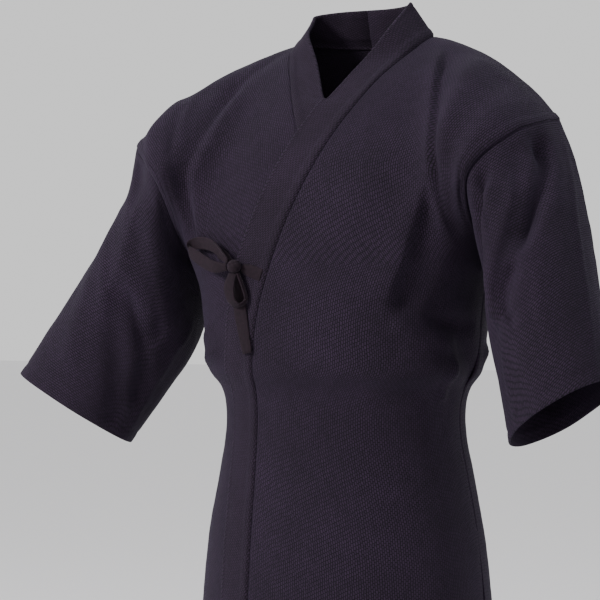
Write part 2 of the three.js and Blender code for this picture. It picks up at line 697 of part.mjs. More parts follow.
function partCollar(side, body, bodyOut, bodyStart, collar, collarOut) {
  const rows = collar.length;
  collar.forEach((line, row) => {
    const tangent = bodyStart[Math.min(row + 1, rows - 1)].clone().sub(bodyStart[Math.max(row - 1, 0)]);
    const intoBody = body[row][1].clone().sub(bodyStart[row]);
    const intoCollar = line[1].clone().sub(bodyStart[row]);
    const { across, outward } = seamFrame(tangent, intoBody, intoCollar, side);
    line[0].addScaledVector(across, SEAM_GAP / 2);
    collarOut[row][0] = outward.clone();
    body[row][0].addScaledVector(across, -SEAM_GAP / 2);
    bodyOut[row][0] = outward.clone();
  });
}

// The two halves meet at the centre back with square edges.
function partCentreBack(side, body, bodyOut, collar, collarOut) {
  const top = collar.length - 1;
  const square = (point, outward) => {
    point.x = (side * SEAM_GAP) / 2;
    outward.setX(0).normalize();
  };
  for (let row = top; row < body.length; row++) square(body[row][0], bodyOut[row][0]);
  collar[top].forEach((point, column) => square(point, collarOut[top][column]));
}

// A stretch of ribbon: a flat strip along the middle of its rows.
function ribbonMesh(name, rows) {
  const path = new THREE.CatmullRomCurve3(rows.map(({ x, y, z }) => new THREE.Vector3(x, y, z)));
  const faces = new THREE.CatmullRomCurve3(
    rows.map(({ faceX, faceY, faceZ }) => new THREE.Vector3(faceX, faceY, faceZ)),
  );
  const widths = new THREE.CatmullRomCurve3(rows.map(({ wide }) => new THREE.Vector3(wide, 0, 0)));
  const count = (rows.length - 1) * RIBBON_STEPS;
  const corners = [
    [-1, -1],
    [1, -1],
    [1, 1],
    [-1, 1],
  ];
  const positions = [];
  for (let step = 0; step <= count; step++) {
    const share = step / count;
    const middle = path.getPoint(share);
    const along = path.getTangent(share);
    const face = faces.getPoint(share);
    face.addScaledVector(along, -face.dot(along)).normalize();
    const across = along.clone().cross(face);
    const half = (widths.getPoint(share).x * TIE_WIDTH) / 2;
    for (const [wide, deep] of corners) {
      const corner = middle.clone().addScaledVector(across, wide * half);
      positions.push(...corner.addScaledVector(face, (deep * TIE_WALL) / 2).toArray());
    }
  }
  const index = [0, 2, 1, 0, 3, 2];
  const end = 4 * count;
  index.push(end, end + 1, end + 2, end, end + 2, end + 3);
  for (let step = 0; step < count; step++) {
    for (let side = 0; side < 4; side++) {
      const [a, b] = [4 * step + side, 4 * step + ((side + 1) % 4)];
      index.push(a, b, b + 4, a, b + 4, a + 4);
    }
  }
  return closedMesh(name, positions, index, TIE_INDIGO);
}

function knotMesh() {
  const material = new THREE.MeshStandardMaterial({ color: TIE_INDIGO, roughness: 0.85, metalness: 0 });
  const mesh = new THREE.Mesh(new THREE.SphereGeometry(1, 14, 10), material);
  mesh.name = "bow_knot";
  mesh.scale.set(KNOT.halfX, KNOT.halfY, KNOT.halfZ);
  mesh.position.set(KNOT.x, KNOT.y, KNOT.z);
  return mesh;
}

addSide(1);
addSide(-1);
for (const [name, rows] of Object.entries(RIBBONS)) jacket.add(ribbonMesh(name, rows));
jacket.add(knotMesh());

export default jacket;
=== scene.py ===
"""Looks of a kendo jacket as it is worn: thick quilted indigo cotton, wrapped left over right and tied."""

import math

import bmesh
import bpy
import numpy as np
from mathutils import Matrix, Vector


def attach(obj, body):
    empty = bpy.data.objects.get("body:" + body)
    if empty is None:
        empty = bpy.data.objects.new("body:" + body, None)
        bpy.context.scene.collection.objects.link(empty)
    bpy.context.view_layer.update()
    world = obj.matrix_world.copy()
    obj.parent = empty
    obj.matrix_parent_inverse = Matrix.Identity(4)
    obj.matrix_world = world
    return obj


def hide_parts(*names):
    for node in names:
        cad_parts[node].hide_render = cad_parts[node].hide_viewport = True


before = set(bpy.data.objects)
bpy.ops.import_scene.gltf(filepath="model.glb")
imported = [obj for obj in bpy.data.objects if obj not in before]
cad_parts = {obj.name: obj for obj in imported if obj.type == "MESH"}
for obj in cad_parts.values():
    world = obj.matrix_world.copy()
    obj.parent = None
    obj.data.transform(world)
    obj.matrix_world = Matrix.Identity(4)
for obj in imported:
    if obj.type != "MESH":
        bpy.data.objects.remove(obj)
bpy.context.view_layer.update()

# Sizes in millimetres, in the frame of the solids: X to the jacket's own left, Y to the back, Z up.
MM = 0.001
LEFT = 1
RIGHT = -1

# Cloth: walls and widths, the gap at a seam, and how far the collar stands proud of the body.
WALL = 2.4
COLLAR_WALL = 4.0
COLLAR_WIDTH = 42.0
COLLAR_PROUD = 0.8
TIE_WALL = 1.6
TIE_WIDTH = 13.0
SEAM_GAP = 0.3

# Drops below the neck's side points, and the share across by which a slit's edge draws back at the hem.
ARMPIT_DROP = 262.0
SLIT_DROP = 560.0
HEM_DROP = 780.0
LOWER_LENGTH = HEM_DROP - ARMPIT_DROP
SLIT_SPREAD = 0.035

# Half the width of the shoulders, and how much lower the right one hangs.
SHOULDER_HALF = 255.0
RIGHT_SHOULDER_SAG = 16.0

# How the upper body bends to the chest and the back, and how its rows are drawn to the armhole seam.
FRONT_SLOPE = 1.35
BACK_SLOPE = 1.1
SEAM_PULL_FROM = 0.3
SEAM_PULL = 1.2

# The neck seam, how far down the back's upper rows it goes, and the collar's free edge round the neck.
NECK_HALF = 84.0
BACK_NECK = 0.2
NECK_FREE_HALF = 62.0
NECK_FREE_SIDE = 46.0
NECK_FREE_BACK = 64.0
NECK_FREE_LEFT = 38.0
NECK_FREE_MIDDLE = 32.0
NECK_FREE_RIGHT = 26.0
NECK_EVEN_DROP = 34.0

# The left front stands out this far over the right one, starting and full at these drops.
OVERLAP_LIFT = 6.6
LIFT_TOP = 5.0
LIFT_FULL = 55.0

# Towards the side it fades between these places across.
LIFT_FADE_FROM = 0.6
LIFT_FADE_TO = 0.9

# Folds that cross the armhole seam are shared from here across the body and to here along the sleeve.
SHARED_FROM = 0.75
SHARED_TO = 0.3

# Where each search across the front starts, and how many times it halves its range or steps nearer.
SEAM_FROM = -0.9
SEAM_TO = 0.6
SEAM_HALVINGS = 40
ROW_REACH = 0.95
ROW_HALVINGS = 20
FRONT_TOP = 0.02
FRONT_STEPS = 12
STRETCH_STEPS = 4

# How many points into the cloth its lean beside a seam is read, and over how many it turns to the seam's.
INTO = 4
ARMHOLE_TURN = 6
COLLAR_TURN = 5


def table(names, *rows):
    """Columns of numbers by name, from one row of numbers for each section, point or fold."""
    return dict(zip(names.split(), np.array(rows, float).T))


BODY_SECTIONS = table(
    "drop half front back square",
    (262, 181, 122, 118, 2.5),
    (290, 171, 123, 114, 2.4),
    (318, 167, 123, 111, 2.4),
    (350, 165, 123, 108, 2.3),
    (384, 160, 120, 103, 2.3),
    (403, 147, 111, 97, 2.2),
    (426, 141, 106, 94, 2.2),
    (458, 142, 105, 96, 2.2),
    (500, 150, 107, 104, 2.2),
    (570, 163, 113, 116, 2.2),
    (660, 172, 118, 123, 2.2),
    (780, 179, 122, 127, 2.2),
)
SHOULDER_LINE = table(
    "out y drop",
    (0, 62, -3),
    (84, 60, 0),
    (148, 42, 20),
    (191, 33, 45),
    (229, 23, 76),
    (255, 12, 102),
)
ARMHOLE = table(
    "turn out y drop",
    (0, 255, 12, 102),
    (0.08, 250, -34, 107),
    (0.16, 232, -74, 119),
    (0.25, 202, -100, 147),
    (0.32, 186, -102, 174),
    (0.41, 181, -62, 228),
    (0.5, 181, 0, 262),
    (0.6, 186, 60, 236),
    (0.75, 208, 88, 172),
    (0.88, 238, 62, 122),
    (1, 255, 12, 102),
)
# Each cuff is an oval: its middle, the half axis to the pressed outer crease, and the one to the front.
CUFFS = {
    LEFT: {"middle": (296, -95, -421), "crease": (56, 15, 33), "front": (17, -60, 20)},
    RIGHT: {"middle": (-330, -46, -433), "crease": (-60, -27, 41), "front": (21, -48, 0)},
}
SLEEVE_SHAPES = {
    LEFT: table(
        "along bow full crest under",
        (0, 0, 0, 0, 0),
        (0.2, 5, 0.05, 0, 0),
        (0.42, 2, 0.09, 0, 2),
        (0.7, 1, 0.04, 0, 2),
        (1, 0, 0, 0, 0),
    ),
    RIGHT: table(
        "along bow full crest under",
        (0, 0, 0, 0, 0),
        (0.2, 2, 0, -22, 16),
        (0.42, 0, 0, -14, 25),
        (0.7, 0, 0, -6, 14),
        (1, 0, 0, 0, 0),
    ),
}
COLLAR_SEAM = table(
    "drop x",
    (0, 84),
    (17, 78),
    (34, 68),
    (57, 54),
    (80, 42),
    (115, 24),
    (150, 8),
    (198, -12),
    (254, -33),
    (310, -51),
    (355, -59),
    (420, -63),
    (780, -74),
)
NECK_EDGE = table(
    "drop x y z",
    (0, 62, 46, 38),
    (17, 53, 8, 8),
    (34, 30, -18, -33),
    (57, 9, -48, -69),
    (84, -7, -67, -92),
    (120, -22, -84, -110),
)
NECK_EDGE_FROM = 57.0
NECK_EDGE_TO = 105.0

# The largest folds: from one place to another, half width and height, troughs negative.
BODY_FOLDS = {
    "front": table(
        "across1 down1 across2 down2 width height",
        (0.78, 0.2, 0.84, 1.0, 16, -9),
        (0.66, 0.16, 0.7, 0.85, 15, 5),
        (0.66, 1.1, 0.97, 1.24, 16, -6),
        (-0.62, 0.32, -0.93, 0.9, 16, -7),
        (-0.8, 0.2, -0.96, 0.5, 13, 5),
        (0.5, 1.19, 0.9, 1.25, 12, 4),
        (-0.55, 1.2, -0.9, 1.24, 12, 4),
    ),
    "back": table(
        "across1 down1 across2 down2 width height",
        (0.5, 0.55, 0.9, 1.0, 20, -6),
        (-0.5, 0.5, -0.88, 1.0, 20, -6),
        (0.25, 1.1, 0.4, 1.3, 16, 5),
        (-0.3, 1.05, -0.45, 1.3, 16, 5),
    ),
}
SLEEVE_FOLDS = {
    LEFT: table(
        "turn1 along1 turn2 along2 width height",
        (0.17, 0.08, 0.3, 0.5, 15, -6),
        (0.33, 0.12, 0.38, 0.55, 13, -6),
        (0.27, 0.12, 0.36, 0.5, 11, 4),
        (0.62, 0.1, 0.72, 0.6, 16, -6),
        (0.85, 0.1, 0.8, 0.5, 16, -4),
    ),
    RIGHT: table(
        "turn1 along1 turn2 along2 width height",
        (0.2, 0.06, 0.37, 0.5, 15, -9),
        (0.27, 0.5, 0.36, 0.92, 15, -6),
        (0.12, 0.25, 0.2, 0.8, 16, 4),
        (0.62, 0.1, 0.7, 0.7, 16, -6),
        (0.85, 0.1, 0.8, 0.6, 16, -4),
    ),
}


def ease(start, end, value):
    share = np.clip((value - start) / (end - start), 0, 1)
    return share * share * (3 - 2 * share)


def mix(low, high, share):
    return low + (high - low) * share


def stack(x, y, z):
    return np.stack(np.broadcast_arrays(x, y, z), -1).astype(float)


def unit(vectors):
    return vectors / np.maximum(np.linalg.norm(vectors, axis=-1, keepdims=True), 1e-9)


def between(rows, key, place):
    """Every column of a table at places between its rows, on smooth curves through them."""
    knots = rows[key]
    place = np.asarray(place, float)
    low = np.clip(np.searchsorted(knots, place) - 1, 0, len(knots) - 2)
    high = low + 1
    before = np.maximum(low - 1, 0)
    after = np.minimum(high + 1, len(knots) - 1)
    span = knots[high] - knots[low]
    share = np.clip((place - knots[low]) / span, 0, 1)
    square = share**2
    cube = share**3
    found = {}
    for name, column in rows.items():
        low_slope = (column[high] - column[before]) / (knots[high] - knots[before]) * span
        high_slope = (column[after] - column[low]) / (knots[after] - knots[low]) * span
        found[name] = (
            column[low] * (2 * cube - 3 * square + 1)
            + column[high] * (3 * square - 2 * cube)
            + low_slope * (cube - 2 * square + share)
            + high_slope * (cube - square)
        )
    return found


def sag(side, out, down):
    """How far the right shoulder hangs below the left one."""
    return RIGHT_SHOULDER_SAG * ease(0, 1, out) * (1 - ease(0, 1, down)) if side < 0 else 0 * out


def armhole_point(side, turn):
    """The armhole seam. Turn is 0 on the shoulder, 0.25 in front, 0.5 under the arm and 0.75 behind."""
    at = between(ARMHOLE, "turn", turn)
    drop = at["drop"] + sag(side, np.ones_like(at["drop"]), 1 - np.abs(1 - 2 * np.asarray(turn)))
    return stack(side * at["out"], at["y"], -drop)


def section_point(face, across, drop):
    """The body's section at a drop. Across is 0 at the centre line and 1 at the side."""
    size = between(BODY_SECTIONS, "drop", drop)
    angle = np.abs(across) * math.pi / 2
    power = 2 / size["square"]
    depth = -size["front"] if face == "front" else size["back"]
    x = np.sign(across) * size["half"] * np.sin(angle) ** power
    return stack(x, depth * np.maximum(np.cos(angle), 0) ** power, -np.asarray(drop, float))


def smooth_body(face, across, down):
    """The body without folds. Down is 0 on the shoulder line, 1 at the armpits and 2 at the hem."""
    across, down = np.broadcast_arrays(np.asarray(across, float), np.asarray(down, float))
    lower = section_point(face, across, ARMPIT_DROP + (np.maximum(down, 1) - 1) * LOWER_LENGTH)
    high = np.clip(down, 0, 1)
    out = np.abs(across)
    side = np.where(across < 0, -1.0, 1.0)
    forward = np.sin(high * math.pi / 2) ** (FRONT_SLOPE if face == "front" else BACK_SLOPE)
    fall = 1 - np.cos(high * math.pi / 2)

    def column(share):
        top = between(SHOULDER_LINE, "out", share * SHOULDER_HALF)
        foot = section_point(face, share, ARMPIT_DROP)
        return stack(
            mix(top["out"], foot[..., 0], high),
            mix(top["y"], foot[..., 1], forward),
            mix(-top["drop"], foot[..., 2], fall),
        )

    seam = armhole_point(LEFT, high / 2 if face == "front" else 1 - high / 2)
    pull = ease(SEAM_PULL_FROM, 1, out) ** SEAM_PULL
    upper = column(out) + (seam - column(np.ones_like(out))) * pull[..., None]
    upper[..., 0] *= side
    upper[..., 2] -= np.where(side < 0, sag(RIGHT, out, high), 0)
    return np.where((down >= 1)[..., None], lower, upper)


def armhole_middle(side):
    return armhole_point(side, np.array([0, 0.25, 0.5, 0.75])).mean(0)


def smooth_sleeve(side, turn, along):
    """The sleeve without folds. Turn goes round from the top by the front, along from armhole to cuff."""
    turn, along = np.broadcast_arrays(np.asarray(turn, float) % 1, np.asarray(along, float))
    cuff = {name: np.array(value, float) for name, value in CUFFS[side].items()}
    cosine = np.cos(2 * math.pi * turn)[..., None]
    sine = np.sin(2 * math.pi * turn)[..., None]
    end = cuff["middle"] + cuff["crease"] * cosine + cuff["front"] * sine
    share = along[..., None]
    middle = mix(armhole_middle(side), cuff["middle"], share)
    shape = between(SLEEVE_SHAPES[side], "along", along)
    straight = mix(armhole_point(side, turn), end, share)
    point = (straight - middle) * (1 + shape["full"][..., None]) + middle
    point[..., 0] += side * shape["bow"]
    crease = unit(cuff["crease"])
    point += crease * shape["crest"][..., None] * np.maximum(cosine, 0)
    return point + crease * shape["under"][..., None] * np.minimum(cosine, 0)


def fold_lines(place, rows, names, sign):
    """Folds as lines in space: three points, a direction out of the cloth, a half width and a height."""
    first, second = names
    found = []
    for at in range(len(rows["width"])):
        one = mix(rows[first + "1"][at], rows[first + "2"][at], np.array([0, 0.5, 1]))
        two = mix(rows[second + "1"][at], rows[second + "2"][at], np.array([0, 0.5, 1]))
        small = 0.01
        wide = place(one[1] + small, two[1]) - place(one[1] - small, two[1])
        long = place(one[1], two[1] + small) - place(one[1], two[1] - small)
        outward = unit(np.cross(wide, long)) * sign
        found.append((place(one, two), outward, rows["width"][at], rows["height"][at]))
    return found


def placed(surface, key):
    """A surface of one face or one side, as a function of its two places alone."""

    def place(first, second):
        return surface(key, first, second)

    return place


FACE_FOLDS = {
    face: fold_lines(placed(smooth_body, face), rows, ("across", "down"), -1 if face == "front" else 1)
    for face, rows in BODY_FOLDS.items()
}
ARM_FOLDS = {
    side: fold_lines(placed(smooth_sleeve, side), rows, ("turn", "along"), side)
    for side, rows in SLEEVE_FOLDS.items()
}


def nearest_on(points, line):
    """For each point, its nearest place on a line of points: share along the line, offset and direction."""
    best = np.full(points.shape[:-1], np.inf)
    offset = np.zeros_like(points)
    heading = np.zeros_like(points)
    share = np.zeros_like(best)
    lengths = np.linalg.norm(np.diff(line, axis=0), axis=1)
    starts = np.concatenate([[0], np.cumsum(lengths)])
    for at, (start, end) in enumerate(zip(line[:-1], line[1:])):
        run = end - start
        place = np.clip(((points - start) @ run) / (run @ run), 0, 1)
        away = points - (start + place[..., None] * run)
        distance = np.linalg.norm(away, axis=-1)
        closer = distance < best
        best = np.where(closer, distance, best)
        offset = np.where(closer[..., None], away, offset)
        heading = np.where(closer[..., None], unit(run), heading)
        share = np.where(closer, (starts[at] + place * lengths[at]) / starts[-1], share)
    return share, best, offset, heading


def fold_shift(points, folds):
    """How far the folds move each point, all together."""
    moved = np.zeros_like(points)
    for line, outward, width, height in folds:
        distance = nearest_on(points, line)[1]
        moved += outward * (height * np.exp(-((distance / width) ** 2)))[..., None]
    return moved


def body_point(face, across, down):
    """The folded body. Beside the armhole it has the sleeve's folds too."""
    smooth = smooth_body(face, across, down)
    near_sleeve = ease(SHARED_FROM, 1, np.abs(across)) * (np.asarray(down) < 1)
    arm = np.where(
        (np.asarray(across) > 0)[..., None],
        fold_shift(smooth, ARM_FOLDS[LEFT]),
        fold_shift(smooth, ARM_FOLDS[RIGHT]),
    )
    return smooth + fold_shift(smooth, FACE_FOLDS[face]) + arm * near_sleeve[..., None]


def sleeve_point(side, turn, along):
    """The folded sleeve. Beside the armhole it has the body's folds too."""
    smooth = smooth_sleeve(side, turn, along)
    near_body = (1 - ease(0, SHARED_TO, along))[..., None]
    front = fold_shift(smooth, FACE_FOLDS["front"])
    back = fold_shift(smooth, FACE_FOLDS["back"])
    other = np.where((turn % 1 <= 0.5)[..., None], front, back)
    return smooth + fold_shift(smooth, ARM_FOLDS[side]) + other * near_body


def collar_across(face, down):
    """The place across at which a row of the left front meets its collar."""
    neck = NECK_HALF / SHOULDER_HALF
    if face == "back":
        return neck * np.sqrt(np.maximum(1 - (down / BACK_NECK) ** 2, 0))
    low = np.full(np.shape(down), SEAM_FROM)
    high = np.full(np.shape(down), SEAM_TO)
    for _ in range(SEAM_HALVINGS):
        across = (low + high) / 2
        point = smooth_body("front", across, down)
        inside = point[..., 0] < between(COLLAR_SEAM, "drop", -point[..., 2])["x"]
        low = np.where(inside, across, low)
        high = np.where(inside, high, across)
    return (low + high) / 2


def across_at(x, down):
    """The place across a row of the front face that lies at x, found by halving."""
    low = np.full(np.shape(x), -ROW_REACH)
    high = np.full(np.shape(x), ROW_REACH)
    for _ in range(ROW_HALVINGS):
        across = (low + high) / 2
        inside = smooth_body("front", across, down)[..., 0] < x
        low = np.where(inside, across, low)
        high = np.where(inside, high, across)
    return (low + high) / 2


def front_at(x, z):
    """The place on the front face under points seen from straight ahead."""
    down = np.ones_like(x)
    for _ in range(FRONT_STEPS):
        across = across_at(x, down)
        point = smooth_body("front", across, down)
        down = np.clip(down + (point[..., 2] - z) / LOWER_LENGTH, FRONT_TOP, 2)
    return across, down


def lift(side, across, points):
    """How far the left front stands out, as it lies over the right one."""
    if side < 0:
        return np.zeros(points.shape[:-1])
    below_neck = ease(LIFT_TOP, LIFT_FULL, -points[..., 2])
    off_side = 1 - ease(LIFT_FADE_FROM, LIFT_FADE_TO, across)
    return OVERLAP_LIFT * below_neck * off_side


# Rows of cloth from the front hem over the shoulder to the back hem, close enough to bend softly.
NECK_ROW_COUNT = 13
UPPER_ROW_COUNT = 80
LOWER_ROW_COUNT = 116
NECK_ROWS = np.linspace(0, BACK_NECK, NECK_ROW_COUNT)
SHOULDER_ROWS = np.concatenate([NECK_ROWS, np.linspace(BACK_NECK, 1, UPPER_ROW_COUNT)[1:]])
LOWER_ROWS = 1 + np.linspace(0, 1, LOWER_ROW_COUNT)[1:]
FRONT_DOWN = np.concatenate([SHOULDER_ROWS, LOWER_ROWS])
DOWN = np.concatenate([FRONT_DOWN[::-1], FRONT_DOWN[1:]])
IS_FRONT = np.arange(len(DOWN)) < len(FRONT_DOWN)
RIDGE_ROW = len(FRONT_DOWN) - 1
SHOULDER_STEPS = len(SHOULDER_ROWS) - 1
FRONT_ARMPIT = RIDGE_ROW - SHOULDER_STEPS
BACK_ARMPIT = RIDGE_ROW + SHOULDER_STEPS
# Steps into the cloth from a seam, and how many even ones lie between the two seams of a row.
EDGE_STEPS = np.array([0, 0.8, 1.7, 3, 5, 7, 9, 11, 13.5])
INNER_STEPS = 88


def edge_shares(width):
    """Shares across a row of this width, close together beside both of its seams."""
    near = EDGE_STEPS / width
    inside = np.linspace(near[-1], 1 - near[-1], INNER_STEPS + 1)[1:-1]
    return np.concatenate([near, inside, 1 - near[::-1]])


def body_grid(side):
    """Points of one half, from the front hem over the shoulder to the back hem, with their places."""
    front_seam = collar_across("front", DOWN)
    back_seam = collar_across("back", np.minimum(DOWN, BACK_NECK))
    seam = np.where(IS_FRONT, front_seam, back_seam)
    drop = ARMPIT_DROP + (DOWN - 1) * LOWER_LENGTH
    edge = 1 - SLIT_SPREAD * ease(SLIT_DROP, HEM_DROP, drop)
    across = np.array([mix(a, b, edge_shares(SHOULDER_HALF * (b - a))) for a, b in zip(seam, edge)])
    down = np.broadcast_to(DOWN[:, None], across.shape)
    front = body_point("front", side * across, down)
    front[..., 1] -= lift(side, across, front)
    back = body_point("back", side * across, down)
    return np.where(IS_FRONT[:, None, None], front, back), across, down


# Rows along the sleeve, from the armhole at 0 to the cuff at 1, closer together beside both.
SLEEVE_ALONG = np.concatenate(
    [[0, 0.003, 0.006, 0.011, 0.018, 0.026], np.linspace(0.036, 0.985, 96), [0.992, 1]]
)
# Turns round the sleeve from its underarm seam, by the back, the top and the front, to that seam again.
SLEEVE_TURNS = np.concatenate([-SHOULDER_ROWS[::-1] / 2, SHOULDER_ROWS[1:] / 2])


def sleeve_grid(side):
    turn, along = np.meshgrid(SLEEVE_TURNS, SLEEVE_ALONG)
    return sleeve_point(side, turn, along)


# Steps over the collar from its seam to its free edge.
COLLAR_STEPS = np.array([0, 0.8, 1.7, 3, 5, 7.5, 9.5, 11, 13, 18, 24, 30, 35, 38.5, 40.6, 42])


def along_panel(side, seam):
    """Points square to the collar seam, laid on the front panel, a collar's width in all."""
    drop = -seam[:, 2]
    run = 5.0
    slope = between(COLLAR_SEAM, "drop", drop + run)["x"] - between(COLLAR_SEAM, "drop", drop - run)["x"]
    square = unit(np.stack([np.full_like(slope, -2 * run), -slope], -1))
    start = np.stack([seam[:, 0] * side, seam[:, 2]], -1)
    stretch = np.ones(len(seam))
    for _ in range(STRETCH_STEPS):
        target = start[:, None] + square[:, None] * (COLLAR_STEPS * stretch[:, None])[..., None]
        across, down = front_at(target[..., 0], np.maximum(target[..., 1], -HEM_DROP))
        points = body_point("front", side * across, down)
        points[..., 1] -= lift(side, across, points)
        points[:, 0] = seam
        length = np.linalg.norm(np.diff(points, axis=1), axis=-1).sum(1)
        stretch = stretch * COLLAR_WIDTH / length
    return points


def collar_grid(side, body):
    """Points of one collar half, from the hem to the centre back, from the seam to the free edge."""
    rows = np.flatnonzero(IS_FRONT | (DOWN <= BACK_NECK + 1e-6))
    seam = body[rows, 0]
    drop = -seam[:, 2]
    shares = (COLLAR_STEPS / COLLAR_WIDTH)[None, :, None]
    behind = ~IS_FRONT[rows] | (DOWN[rows] == 0)
    ratio = collar_across("back", np.minimum(DOWN[rows], BACK_NECK)) / (NECK_HALF / SHOULDER_HALF)
    angle = np.arccos(np.clip(ratio, 0, 1))
    top = NECK_FREE_LEFT if side > 0 else NECK_FREE_RIGHT
    free_behind = stack(
        side * NECK_FREE_HALF * np.cos(angle),
        mix(NECK_FREE_SIDE, NECK_FREE_BACK, np.sin(angle)),
        mix(top, NECK_FREE_MIDDLE, np.sin(angle)),
    )
    edge = between(NECK_EDGE, "drop", drop)
    lower = (NECK_FREE_LEFT - NECK_FREE_RIGHT) * (1 - ease(0, NECK_EVEN_DROP, drop)) if side < 0 else 0
    free = stack(side * edge["x"], edge["y"], edge["z"] - lower)
    free[:, 1] -= lift(side, 0, free)
    beside = mix(seam[:, None], free[:, None], shares)
    share = ease(NECK_EDGE_FROM, NECK_EDGE_TO, drop)[:, None, None]
    front = mix(beside, along_panel(side, seam), share)
    back = mix(seam[:, None], free_behind[:, None], shares)
    return np.where(behind[:, None, None], back, front)


def slopes(grid, wrap=False):
    """Steps from row to row and from column to column of a grid of points."""
    down = np.empty_like(grid)
    down[1:-1] = grid[2:] - grid[:-2]
    down[0] = grid[1] - grid[0]
    down[-1] = grid[-1] - grid[-2]
    across = np.empty_like(grid)
    across[:, 1:-1] = grid[:, 2:] - grid[:, :-2]
    across[:, 0] = grid[:, 1] - (grid[:, -2] if wrap else grid[:, 0])
    across[:, -1] = (grid[:, 1] if wrap else grid[:, -1]) - grid[:, -2]
    return down, across


def outwards(grid, sign, wrap=False):
    """The direction out of the cloth at each point of a grid."""
    down, across = slopes(grid, wrap)
    return unit(np.cross(down, across)) * sign


def seam_frame(tangent, into_first, into_second, sign):
    """Where two sheets meet: the direction from one to the other, and the shared direction outward."""
    along = unit(tangent)

    def level(vectors):
        return unit(vectors - along * (vectors * along).sum(-1, keepdims=True))

    across = level(level(into_second) - level(into_first))
    return across, np.cross(along, across) * sign


def ring_slope(points):
    """Steps along a closed ring, whose last point is its first one again."""
    return np.concatenate([points[1:], points[1:2]]) - np.concatenate([points[-2:-1], points[:-1]])


def part_armhole(side, body, body_out, sleeve, sleeve_out):
    """Sleeve and body share each point of the armhole. Their edges are drawn apart by the seam's gap."""
    rows = np.arange(BACK_ARMPIT, FRONT_ARMPIT - 1, -1)
    lower = np.where(rows > RIDGE_ROW, rows + 1, rows - 1)
    lower = np.where(rows == RIDGE_ROW, rows, lower)
    ring = sleeve[0].copy()
    into_body = body[rows, -INTO] + body[lower, -INTO] - 2 * body[rows, -1]
    into_sleeve = sleeve[INTO] - ring
    across, outward = seam_frame(-ring_slope(ring), into_body, into_sleeve, -side)
    ends = [0, -1]
    across[ends] = unit(across[ends].sum(0))
    outward[ends] = unit(outward[ends].sum(0))
    sleeve[0] += across * SEAM_GAP / 2
    sleeve_out[0] = outward
    body[rows, -1] -= across * SEAM_GAP / 2
    body_out[rows, -1] = outward
    for step in range(1, ARMHOLE_TURN):
        fade = 1 - step / ARMHOLE_TURN
        sleeve_out[step] = unit(mix(sleeve_out[step], outward, fade))
        body_out[rows, -1 - step] = unit(mix(body_out[rows, -1 - step], outward, fade))


def part_side_seam(side, body, body_out):
    """The side seam and the slit under it leave their gap between the front and the back."""
    rows = np.arange(len(body))
    front = rows < FRONT_ARMPIT
    back = rows > BACK_ARMPIT
    body[front, -1, 1] -= SEAM_GAP / 2
    body[back, -1, 1] += SEAM_GAP / 2
    body_out[front | back, -1] = (side, 0, 0)


def part_collar(side, body, body_out, collar, collar_out):
    """Collar and body share each point of their seam, and are drawn apart by its gap."""
    seam = body[: len(collar), 0].copy()
    tangent = np.gradient(seam, axis=0)
    into_body = body[: len(collar), INTO] - seam
    into_collar = collar[:, INTO] - seam
    across, outward = seam_frame(tangent, into_body, into_collar, side)
    collar[:, 0] += across * SEAM_GAP / 2
    collar_out[:, 0] = outward
    body[: len(collar), 0] -= across * SEAM_GAP / 2
    body_out[: len(collar), 0] = outward
    for step in range(1, COLLAR_TURN):
        fade = 1 - step / COLLAR_TURN
        collar_out[:, step] = unit(mix(collar_out[:, step], outward, fade))
        body_out[: len(collar), step] = unit(mix(body_out[: len(collar), step], outward, fade))


def part_centre_back(side, body, body_out, collar, collar_out):
    """The two halves meet at the centre back with square edges."""
    top = len(collar) - 1
    body[top:, 0, 0] = side * SEAM_GAP / 2
    body_out[top:, 0, 0] = 0
    collar[top, :, 0] = side * SEAM_GAP / 2
    collar_out[top, :, 0] = 0
    body_out[top:, 0] = unit(body_out[top:, 0])
    collar_out[top] = unit(collar_out[top])


